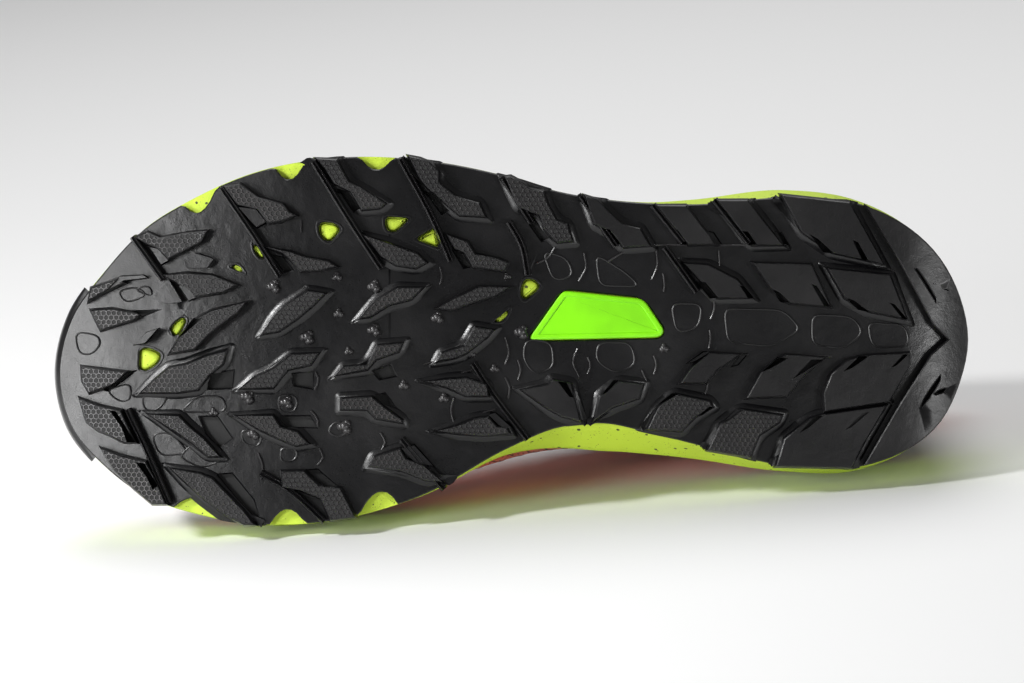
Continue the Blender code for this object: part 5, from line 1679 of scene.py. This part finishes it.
@dataclass
class Upper:
    """The hollow upper: mesh outside, lining inside, a padded collar and flex creases."""

    knit: Knit = Knit()
    lining: Weave = Weave("shoe_lining")
    columns: int = 480
    rows: int = 72
    pad_depth: float = 0.0016
    pad_level: float = 0.90
    pad_width: float = 0.10
    seam_level: float = 0.76
    seam_depth: float = 0.0007
    seam_width: float = 0.022
    collar_share: float = 0.40
    lining_fold: float = 0.955
    creases: tuple = (
        Crease(0.745, 0.55, 0.014, 0.30, 0.0011),
        Crease(0.775, 0.42, 0.012, 0.26, 0.0009),
        Crease(0.712, 0.50, 0.011, 0.22, 0.0007),
        Crease(0.300, 0.48, 0.020, 0.16, 0.0007),
    )

    def relief(self, turns: np.ndarray, levels: np.ndarray) -> np.ndarray:
        """Return how far the face stands off the plain wall, by turn and level."""
        share = np.minimum(turns % 2, 2 - turns % 2)[:, None]
        level = np.broadcast_to(levels, (len(turns), levels.shape[-1]))
        collar = 1 / (1 + np.exp((share - self.collar_share) * 60))
        pad = self.pad_depth * np.exp(-(((level - self.pad_level) / self.pad_width) ** 2))
        seam = self.seam_depth * np.exp(-(((level - self.seam_level) / self.seam_width) ** 2))
        total = (pad - seam) * collar * np.clip((1 - level) / 0.02, 0, 1)
        for crease in self.creases:
            across = ((share - crease.share) / crease.wide) ** 2
            total = total - crease.depth * np.exp(-across - ((level - crease.level) / crease.tall) ** 2)
        return total

    def build(self) -> None:
        """Make the wall."""
        turns = all_turns(self.columns)
        levels = np.linspace(0, 1, self.rows + 1)
        front = LAST.wall(turns, levels, self.relief(turns, levels))
        depth = LAST.upper_wall * np.clip((1 - levels) / 0.012, 0.62, 1)
        back = LAST.wall(turns, levels, np.broadcast_to(-depth, (len(turns), len(levels))))
        points, faces = slab(front, back, closed=True)
        obj = new_piece("mesh_upper", points, faces, [self.knit.material(), self.lining.material()])
        inner = self.columns * self.rows
        index = np.zeros(len(obj.data.polygons), np.int32)
        index[inner : 2 * inner] = 1
        front = index[:inner].reshape(self.columns, self.rows)
        share = np.minimum(turns, 2 - turns)
        front[np.ix_(share < self.collar_share + 0.02, levels[:-1] > self.lining_fold)] = 1
        obj.data.polygons.foreach_set("material_index", index)
        finish_piece(face_out(obj), "upper", 60)


def pillow(count: int, run: float, edge: float) -> np.ndarray:
    """Return a thickness profile of 0 to 1 that rises quickly at both ends of a run."""
    at = np.linspace(0, run, count)
    near = np.minimum(at, run - at) / edge
    return np.sqrt(np.clip(1 - (1 - np.clip(near, 0, 1)) ** 2, 0.02, 1))


@dataclass
class Overlay:
    """A welded or sewn layer over part of the wall, between two turns and two levels."""

    name: str
    node: str
    start: float
    end: float
    foot: float
    top: float
    thickness: float = 0.0010
    dip: float = 0.0
    columns: int = 160
    rows: int = 22

    def grid(self) -> tuple[np.ndarray, np.ndarray]:
        """Return the turns and the levels of the layer, its top edge dipping between its ends."""
        turns = np.linspace(self.start, self.end, self.columns)
        middle = (self.start + self.end) / 2
        reach = abs(turns - middle) / (self.end - middle)
        top = self.top - self.dip * reach**3
        levels = self.foot + np.linspace(0, 1, self.rows)[None, :] * (top - self.foot)[:, None]
        return turns, levels

    def build(self, material: bpy.types.Material, relief: Callable) -> bpy.types.Object:
        """Make the layer on the upper's own face."""
        turns, levels = self.grid()
        plain = relief(turns, levels)
        rise = pillow(self.columns, self.columns, 3)[:, None] * pillow(self.rows, self.rows, 2)[None, :]
        front = LAST.wall(turns, levels, plain + LAST.gap + self.thickness * rise)
        back = LAST.wall(turns, levels, plain + LAST.gap * 0.5)
        points, faces = slab(front, back)
        return face_out(new_piece(self.name, points, faces, [material]))


@dataclass
class Overlays:
    """The toe cap, the heel counter and the eyestay with its eyelets."""

    film: Film = Film()
    ring_film: Gloss = Gloss("eyelet_ring", (0.02, 0.02, 0.022), 0.35)
    eyelet_shares: tuple = (0.465, 0.525, 0.585, 0.645, 0.705, 0.765)
    eyelet_level: float = 0.90
    eyelet_radius: float = 0.0021
    ring_radius: float = 0.00055
    ring_around: int = 28
    ring_tube: int = 10
    stay_thickness: float = 0.0013

    def build(self, relief: Callable) -> None:
        """Make the layers."""
        film = self.film.material()
        cap = Overlay("toe_cap_film", "toe_cap", 0.80, 1.20, foot=0.05, top=0.40, dip=0.10)
        counter = Overlay("heel_counter_film", "heel_counter", -0.20, 0.20, foot=0.05, top=0.60, dip=0.12)
        for layer in (cap, counter):
            finish_piece(layer.build(film, relief), layer.node)
        stay = Overlay("eyestay_film", "eyestay", start=0.43, end=1.57, foot=0.80, top=0.995)
        stay.thickness, stay.columns, stay.rows = self.stay_thickness, 420, 20
        obj = stay.build(film, relief)
        punch, rings = [], []
        for turn in self.eyelet_turns():
            low = LAST.spot(turn, self.eyelet_level, -0.003)
            high = LAST.spot(turn, self.eyelet_level, 0.005)
            punch.append((low, high))
            face = LAST.spot(turn, self.eyelet_level, LAST.gap + self.stay_thickness)
            rings.append((face, (high - low).normalized()))
        cut(obj, self.cylinders(punch, film))
        finish_piece(obj, "eyestay")
        finish_piece(self.eyelets(rings), "eyestay")

    def eyelet_turns(self) -> list[float]:
        """Return the turns of all eyelets, the outer side first."""
        return [turn for share in self.eyelet_shares for turn in (share, 2 - share)]

    def cylinders(self, ends: list[tuple[Vector, Vector]], film: bpy.types.Material) -> bpy.types.Object:
        """Return round solids between pairs of points, for punching."""
        bm = bmesh.new()
        for low, high in ends:
            turned = (high - low).to_track_quat("Z", "Y").to_matrix().to_4x4()
            matrix = Matrix(LAST.matrix.tolist()) @ Matrix.Translation((low + high) / 2) @ turned
            bmesh.ops.create_cone(
                bm,
                cap_ends=True,
                segments=24,
                radius1=self.eyelet_radius,
                radius2=self.eyelet_radius,
                depth=(high - low).length,
                matrix=matrix,
            )
        mesh = bpy.data.meshes.new("punch")
        bm.to_mesh(mesh)
        bm.free()
        mesh.materials.append(film)
        return linked("punch", mesh)

    def eyelets(self, rings: list[tuple[Vector, Vector]]) -> bpy.types.Object:
        """Return the stitched rings round the holes as one mesh."""
        points, faces = [], []
        around, tube = self.ring_around, self.ring_tube
        for centre, axis in rings:
            side = axis.orthogonal().normalized()
            other = axis.cross(side)
            start = len(points)
            for i in range(around):
                angle = 2 * math.pi * i / around
                out = side * math.cos(angle) + other * math.sin(angle)
                for j in range(tube):
                    turn = 2 * math.pi * j / tube
                    radius = self.eyelet_radius + self.ring_radius * (0.6 + math.cos(turn))
                    points.append(centre + out * radius + axis * self.ring_radius * math.sin(turn))
            for i in range(around):
                for j in range(tube):
                    a, b = start + i * tube, start + (i + 1) % around * tube
                    n = (j + 1) % tube
                    faces.append((a + j, b + j, b + n, a + n))
        return face_out(new_piece("eyelet_rings", np.array(points), faces, [self.ring_film.material()]))


def ribbon(path: np.ndarray, widths: np.ndarray, thickness: float, side_hint: Vector) -> tuple:
    """Sweep a flat rounded section along a path.

    Args:
        path: Points of the middle of the ribbon.
        widths: Its width at each point.
        thickness: Its thickness.
        side_hint: The direction that its width follows as nearly as the path lets it.

    Returns:
        Points and faces of a closed body.
    """
    around = 14
    angles = np.arange(around) * 2 * math.pi / around
    flat = np.sign(np.cos(angles)) * abs(np.cos(angles)) ** 0.55
    high = np.sign(np.sin(angles)) * abs(np.sin(angles)) ** 0.8
    run = unit(np.gradient(path, axis=0))
    hint = np.array(side_hint, float)
    side = unit(hint - run * (run @ hint)[:, None])
    face = np.cross(side, run)
    rings = [
        path + side * (widths * a / 2)[:, None] + face * (thickness * b / 2)
        for a, b in zip(flat, high)
    ]
    points = np.stack(rings, axis=1).reshape(-1, 3)
    count = len(path)
    faces = []
    for i in range(count - 1):
        for j in range(around):
            n = (j + 1) % around
            a, b = i * around, (i + 1) * around
            faces.append((a + j, a + n, b + n, b + j))
    faces.append(tuple(range(around)))
    faces.append(tuple(range((count - 1) * around, count * around)))
    return points, faces


def joined(parts: Iterable[tuple[np.ndarray, list]]) -> tuple[np.ndarray, list]:
    """Return several bodies as one set of points and faces."""
    points, faces, start = [], [], 0
    for some, corners in parts:
        points.append(some)
        faces += [tuple(start + corner for corner in face) for face in corners]
        start += len(some)
    return np.concatenate(points), faces


def throat_middle(share: float, crown: float, edge: float, fade: float) -> Vector:
    """Return the middle of the tongue's face between the two edges of the throat."""
    depth = LAST.upper_wall + LAST.gap
    ends = [LAST.spot(turn, 1.0, -depth) for turn in (share, 2 - share)]
    rise = crown * min(1.0, max(-1.0, (edge - share) / fade))
    return (ends[0] + ends[1]) / 2 + Vector((0, 0, rise))


@dataclass
class Tongue:
    """The padded flap under the laces, with a bound top edge."""

    cloth: Weave = Weave("tongue_cloth", (0.034, 0.034, 0.038), (0.09, 0.09, 0.10), 0.0013)
    crown: float = 0.0028
    level_from: float = 0.77
    fade: float = 0.07
    reach: float = 0.015
    thickness: float = 0.0042
    rows: int = 96
    columns: int = 48

    def skeleton(self) -> np.ndarray:
        """Return the few rows of points that the flap's face runs through."""
        depth = LAST.upper_wall + 3 * LAST.gap
        end = ((0.86, 0.74), (0.90, 0.80), (0.95, 0.86))
        left = [LAST.spot(turn, level, -depth) for turn, level in end]
        right = [LAST.spot(2 - turn, level, -depth) for turn, level in end]
        rows = [left + [LAST.spot(1.0, 0.89, -depth)] + right[::-1]]
        for share in np.linspace(0.84, 0.46, 10):
            left = [LAST.spot(share, level, -depth) for level in (0.80, 0.90, 1.0)]
            right = [LAST.spot(2 - share, level, -depth) for level in (0.80, 0.90, 1.0)]
            middle = throat_middle(share, self.crown, self.level_from, self.fade)
            rows.append(left + [middle] + right[::-1])
        step = (rows[-1][3] - rows[-2][3]).normalized() * self.reach
        top = rows[-1]
        for part, squeeze in ((0.45, 0.12), (1.0, 0.24)):
            rows.append([point.lerp(top[3], squeeze) + step * part for point in top])
        return np.array([[tuple(point) for point in row] for row in rows])

    def build(self) -> None:
        """Make the flap."""
        rows = self.skeleton()
        keys = np.arange(len(rows), dtype=float)
        at = np.linspace(0, keys[-1], self.rows)
        grid = smooth_curve(keys, rows.reshape(len(rows), -1), at).reshape(self.rows, -1, 3)
        across = np.moveaxis(grid, 1, 0).reshape(grid.shape[1], -1)
        points_across = np.linspace(0, grid.shape[1] - 1, self.columns)
        fine = smooth_curve(np.arange(grid.shape[1], dtype=float), across, points_across)
        front = np.moveaxis(fine.reshape(self.columns, self.rows, 3), 0, 1)
        normal = unit(np.cross(np.gradient(front, axis=0), np.gradient(front, axis=1)))
        normal *= np.where(normal[..., 2:3] > 0, 1, -1)
        edge = pillow(self.rows, self.rows, 5)[:, None] * pillow(self.columns, self.columns, 4)[None, :]
        drop = self.thickness * (1 - edge) * 0.5
        back = front - normal * (self.thickness - drop)[..., None]
        front = front - normal * drop[..., None]
        points, faces = slab(front, back)
        obj = face_out(new_piece("padded_tongue", points, faces, [self.cloth.material()]))
        finish_piece(obj, "tongue", 70)


@dataclass
class Laces:
    """Flat laces that cross over the tongue and go down through the eyelets."""

    cloth: Weave = Weave("lace_cloth", (0.012, 0.012, 0.013), (0.045, 0.046, 0.043), 0.0008, 0.00012)
    lift: float = 0.0020
    width: float = 0.0055
    hole_width: float = 0.0034
    thickness: float = 0.0014
    steps: int = 60
    tail: float = 0.0034

    def crossing(
        self, start: float, end: float, stays: Overlays, tongue: Tongue, over: float, low_end: bool
    ) -> tuple[np.ndarray, list]:
        """Return the ribbon of one crossing.

        Args:
            start: The turn of the eyelet it starts at.
            end: The turn of the eyelet it ends at.
            stays: The layers with the eyelets.
            tongue: The flap it crosses.
            over: How much higher it runs in the middle, to pass over its partner.
            low_end: Whether its start also goes in from above, as the lowest crossing's does.

        Returns:
            Points and faces.
        """
        level = stays.eyelet_level
        face = LAST.gap + stays.stay_thickness + self.thickness / 2
        top = face + 0.0008
        near = LAST.spot(start * 0.86 + (2 - end) * 0.14, 1.0, top)
        far = LAST.spot(end * 0.86 + (2 - start) * 0.14, 1.0, top)
        share = (min(start, 2 - start) + min(end, 2 - end)) / 2
        middle = throat_middle(share, tongue.crown, tongue.level_from, tongue.fade)
        middle.z = max(middle.z + self.lift + self.thickness, (near.z + far.z) / 2) + over
        points = [
            LAST.spot(start, level, -self.tail),
            LAST.spot(start, level, -0.0006),
            LAST.spot(start, level + 0.012, top),
            near,
            middle,
            far,
            LAST.spot(end, level + 0.012, top),
            LAST.spot(end, level, -0.0006),
            LAST.spot(end, level, -self.tail),
        ]
        widths = [self.hole_width] * 2 + [self.width * 0.86] + [self.width] * 3
        widths += [self.width * 0.86] + [self.hole_width] * 2
        if not low_end:
            points[:4] = [
                LAST.spot(start, level + 0.02, -self.tail + 0.0004),
                LAST.spot(start * 0.96 + (2 - end) * 0.04, 0.97, -self.tail + 0.0004),
                LAST.spot(start * 0.86 + (2 - end) * 0.14, 1.0, -self.tail + 0.0012),
                LAST.spot(start * 0.80 + (2 - end) * 0.20, 1.0, 0).lerp(middle, 0.25),
            ]
            widths[:2] = [self.width * 0.9] * 2
        path = np.array([tuple(point) for point in points])
        keys = run_length(path)
        at = np.linspace(0, keys[-1], self.steps)
        line = smooth_curve(keys, path, at)
        return ribbon(line, np.interp(at, keys, widths), self.thickness, Vector((1, 0, 0)))

    def build(self, stays: Overlays, tongue: Tongue) -> None:
        """Make all crossings as one piece."""
        shares = stays.eyelet_shares
        parts = [self.crossing(shares[-1], 2 - shares[-1], stays, tongue, 0.0, True)]
        for low, high in zip(shares, shares[1:]):
            parts.append(self.crossing(high, 2 - low, stays, tongue, 0.0, False))
            parts.append(self.crossing(2 - high, low, stays, tongue, 0.0015, False))
        points, faces = joined(parts)
        obj = face_out(new_piece("laces_crossed", points, faces, [self.cloth.material()]))
        finish_piece(obj, "laces", 60)


@dataclass
class PullLoop:
    """The webbing loop at the heel."""

    cloth: Weave = Weave("loop_webbing", (0.014, 0.014, 0.015), (0.07, 0.07, 0.075), 0.0010)
    low: float = 0.72
    high: float = 0.985
    bulge: float = 0.0075
    width: float = 0.014
    wall: float = 0.0012
    steps: int = 33

    def build(self) -> None:
        """Make the loop."""
        ends = [LAST.spot(0.0, level, 2 * LAST.gap) for level in (self.low, self.high)]
        line = []
        for angle in np.linspace(0, math.pi, self.steps):
            chord = ends[0].lerp(ends[1], (1 - math.cos(angle)) / 2)
            line.append(tuple(chord + Vector((self.bulge * math.sin(angle), 0, 0))))
        path = np.array(line)
        points, faces = ribbon(path, np.full(len(path), self.width), self.wall, Vector((0, 1, 0)))
        obj = face_out(new_piece("heel_loop", points, faces, [self.cloth.material()]))
        finish_piece(obj, "pull_loop", 60)


@dataclass
class WallTrim:
    """What is sewn or welded on the upper: thin diagonal lines and rows of stitches."""

    line_finish: Film = Film("line_film", (0.030, 0.012, 0.012), (0.05, 0.03, 0.03))
    thread: Gloss = Gloss("thread", (0.055, 0.055, 0.06), 0.6, 0.0)
    line_width: float = 0.0006
    line_rise: float = 0.00006
    line_steps: int = 24
    stitch_length: float = 0.0026
    stitch_gap: float = 0.0011
    stitch_width: float = 0.0007

    def on_wall(self, track: Plan, upper: Upper, rise: float, steps: int) -> np.ndarray:
        """Return points on the upper's face along a track of turns and levels."""
        points = np.array(track)
        at = np.linspace(0, 1, steps)
        if len(points) > 2:
            both = smooth_curve(np.linspace(0, 1, len(points)), points, at)
        else:
            both = points[0] + (points[1] - points[0]) * at[:, None]
        height = np.array([upper.relief(row[:1], row[None, 1:])[0, 0] for row in both])
        return np.array([tuple(LAST.spot(t, v, h + rise)) for (t, v), h in zip(both, height)])

    def lines(self, upper: Upper) -> None:
        """Make the thin diagonal lines on both quarters."""
        parts = []
        for first in np.arange(0.34, 0.66, 0.018):
            reach = 0.50 - 0.25 * abs(first - 0.5) / 0.16
            for sign in (1, -1):
                track = [(sign * first % 2, 0.03), (sign * (first + 0.035) % 2, 0.03 + reach)]
                path = self.on_wall(track, upper, self.line_rise / 2, self.line_steps)
                widths = np.full(self.line_steps, self.line_width)
                parts.append(ribbon(path, widths, 2 * self.line_rise, Vector((1, 0, 0))))
        points, faces = joined(parts)
        obj = face_out(new_piece("quarter_lines", points, faces, [self.line_finish.material()]))
        finish_piece(obj, "upper", 60)

    def stitches(self, upper: Upper) -> None:
        """Make rows of stitches along the eyestay and the heel counter."""
        tracks = []
        for sign in (1, -1):
            tracks.append([(sign * share % 2, 0.83) for share in np.linspace(0.445, 0.985, 9)])
            shares = np.linspace(0.21, 0.41, 7)
            tracks.append([(sign * share % 2, 0.80 - 0.17 * ((share - 0.21) / 0.2) ** 2) for share in shares])
        parts = []
        for track in tracks:
            fine = self.on_wall(track, upper, 0.0016 if track[0][1] > 0.82 else 0.0002, 420)
            run = run_length(fine)
            for start in np.arange(0.002, run[-1] - 0.004, self.stitch_length + self.stitch_gap):
                at = np.linspace(start, start + self.stitch_length, 7)
                path = np.stack([np.interp(at, run, fine[:, i]) for i in range(3)], axis=-1)
                widths = self.stitch_width * np.array([0.5, 0.9, 1, 1, 1, 0.9, 0.5])
                parts.append(ribbon(path, widths, self.stitch_width * 0.8, Vector((0, 0, 1))))
        points, faces = joined(parts)
        obj = face_out(new_piece("stitches", points, faces, [self.thread.material()]))
        finish_piece(obj, "upper", 60)

    def build(self, upper: Upper) -> None:
        """Make the trim."""
        self.lines(upper)
        self.stitches(upper)


@dataclass(frozen=True)
class Lamp:
    """A soft light: where it stands from the shoe, how wide it is, its power and its colour."""

    name: str
    place: tuple
    size: float
    watts: float
    colour: tuple = (1.0, 1.0, 1.0)


@dataclass
class Studio:
    """The pale floor, the soft lights and the camera that sees the tread."""

    lamps: tuple = (
        Lamp("key", (-0.75, -0.32, 0.62), 0.16, 8.0),
        Lamp("toe_sheen", (-0.62, -0.62, 0.26), 0.26, 2.4),
        Lamp("low", (-0.80, -0.60, 0.05), 0.30, 3.4),
        Lamp("arch", (0.62, -0.80, 0.03), 0.22, 3.2),
        Lamp("back", (0.1, 0.9, 1.7), 1.6, 22),
    )
    floor_colour: tuple = (0.86, 0.86, 0.86)
    sky: float = 0.15
    distance: float = 1.4
    view_width: float = 0.323
    target_along: float = 0.4995
    target_across: float = -0.00205
    sensor: float = 36.0
    floor_half: float = 6.0
    lamp_aim: tuple = (0, 0.03, 0.05)

    def build(self) -> None:
        """Make the studio."""
        self.floor()
        self.lights()
        self.camera()

    def floor(self) -> None:
        """Lay the floor."""
        mesh = bpy.data.meshes.new("studio_floor")
        half = self.floor_half
        corners = [(-half, -half, 0), (half, -half, 0), (half, half, 0), (-half, half, 0)]
        mesh.from_pydata(corners, [], [(0, 1, 2, 3)])
        graph = Graph("studio_floor")
        graph.surface(Base_Color=(*self.floor_colour, 1.0), Roughness=0.9)
        mesh.materials.append(graph.material)
        obj = linked("studio_floor", mesh)

    def lights(self) -> None:
        """Hang the lamps and set the sky."""
        aim = Vector(self.lamp_aim)
        for lamp in self.lamps:
            light = bpy.data.lights.new(lamp.name, "AREA")
            light.shape = "DISK"
            light.size = lamp.size
            light.energy = lamp.watts
            light.color = lamp.colour
            obj = linked(lamp.name, light)
            obj.location = lamp.place
            obj.rotation_euler = (aim - Vector(lamp.place)).to_track_quat("-Z", "Y").to_euler()
        world = bpy.data.worlds.new("sky")
        world.use_nodes = True
        background = world.node_tree.nodes["Background"]
        background.inputs["Color"].default_value = (1, 1, 1, 1)
        background.inputs["Strength"].default_value = self.sky
        bpy.context.scene.world = world

    def camera(self) -> None:
        """Point the camera at the tread, square to the sole, with the toe to the left."""
        right, up, back = LAST.matrix[:3, 0], -LAST.matrix[:3, 1], -LAST.matrix[:3, 2]
        target = LAST.to_row(LAST.place(self.target_along, self.target_across, 0.0))
        data = bpy.data.cameras.new("tread_camera")
        data.sensor_width = self.sensor
        data.lens = self.sensor * self.distance / self.view_width
        obj = linked("tread_camera", data)
        matrix = np.eye(4)
        matrix[:3, 0], matrix[:3, 1], matrix[:3, 2] = right, up, back
        matrix[:3, 3] = target + back * self.distance
        obj.matrix_world = Matrix(matrix.tolist())
        scene = bpy.context.scene
        scene.camera = obj
        scene.view_settings.view_transform = "Standard"
        scene.view_settings.look = "None"


LAST = Last()


def main() -> None:
    """Build the shoe and its studio, and report each piece."""
    logging.basicConfig(level=logging.INFO, format="%(message)s")
    upper, stays, tongue = Upper(), Overlays(), Tongue()
    Outsole().build()
    SoleInsert().build()
    Midsole().build()
    Insole().build()
    upper.build()
    stays.build(upper.relief)
    tongue.build()
    Laces().build(stays, tongue)
    PullLoop().build()
    WallTrim().build(upper)
    Studio().build()


if __name__ == "__main__":
    main()
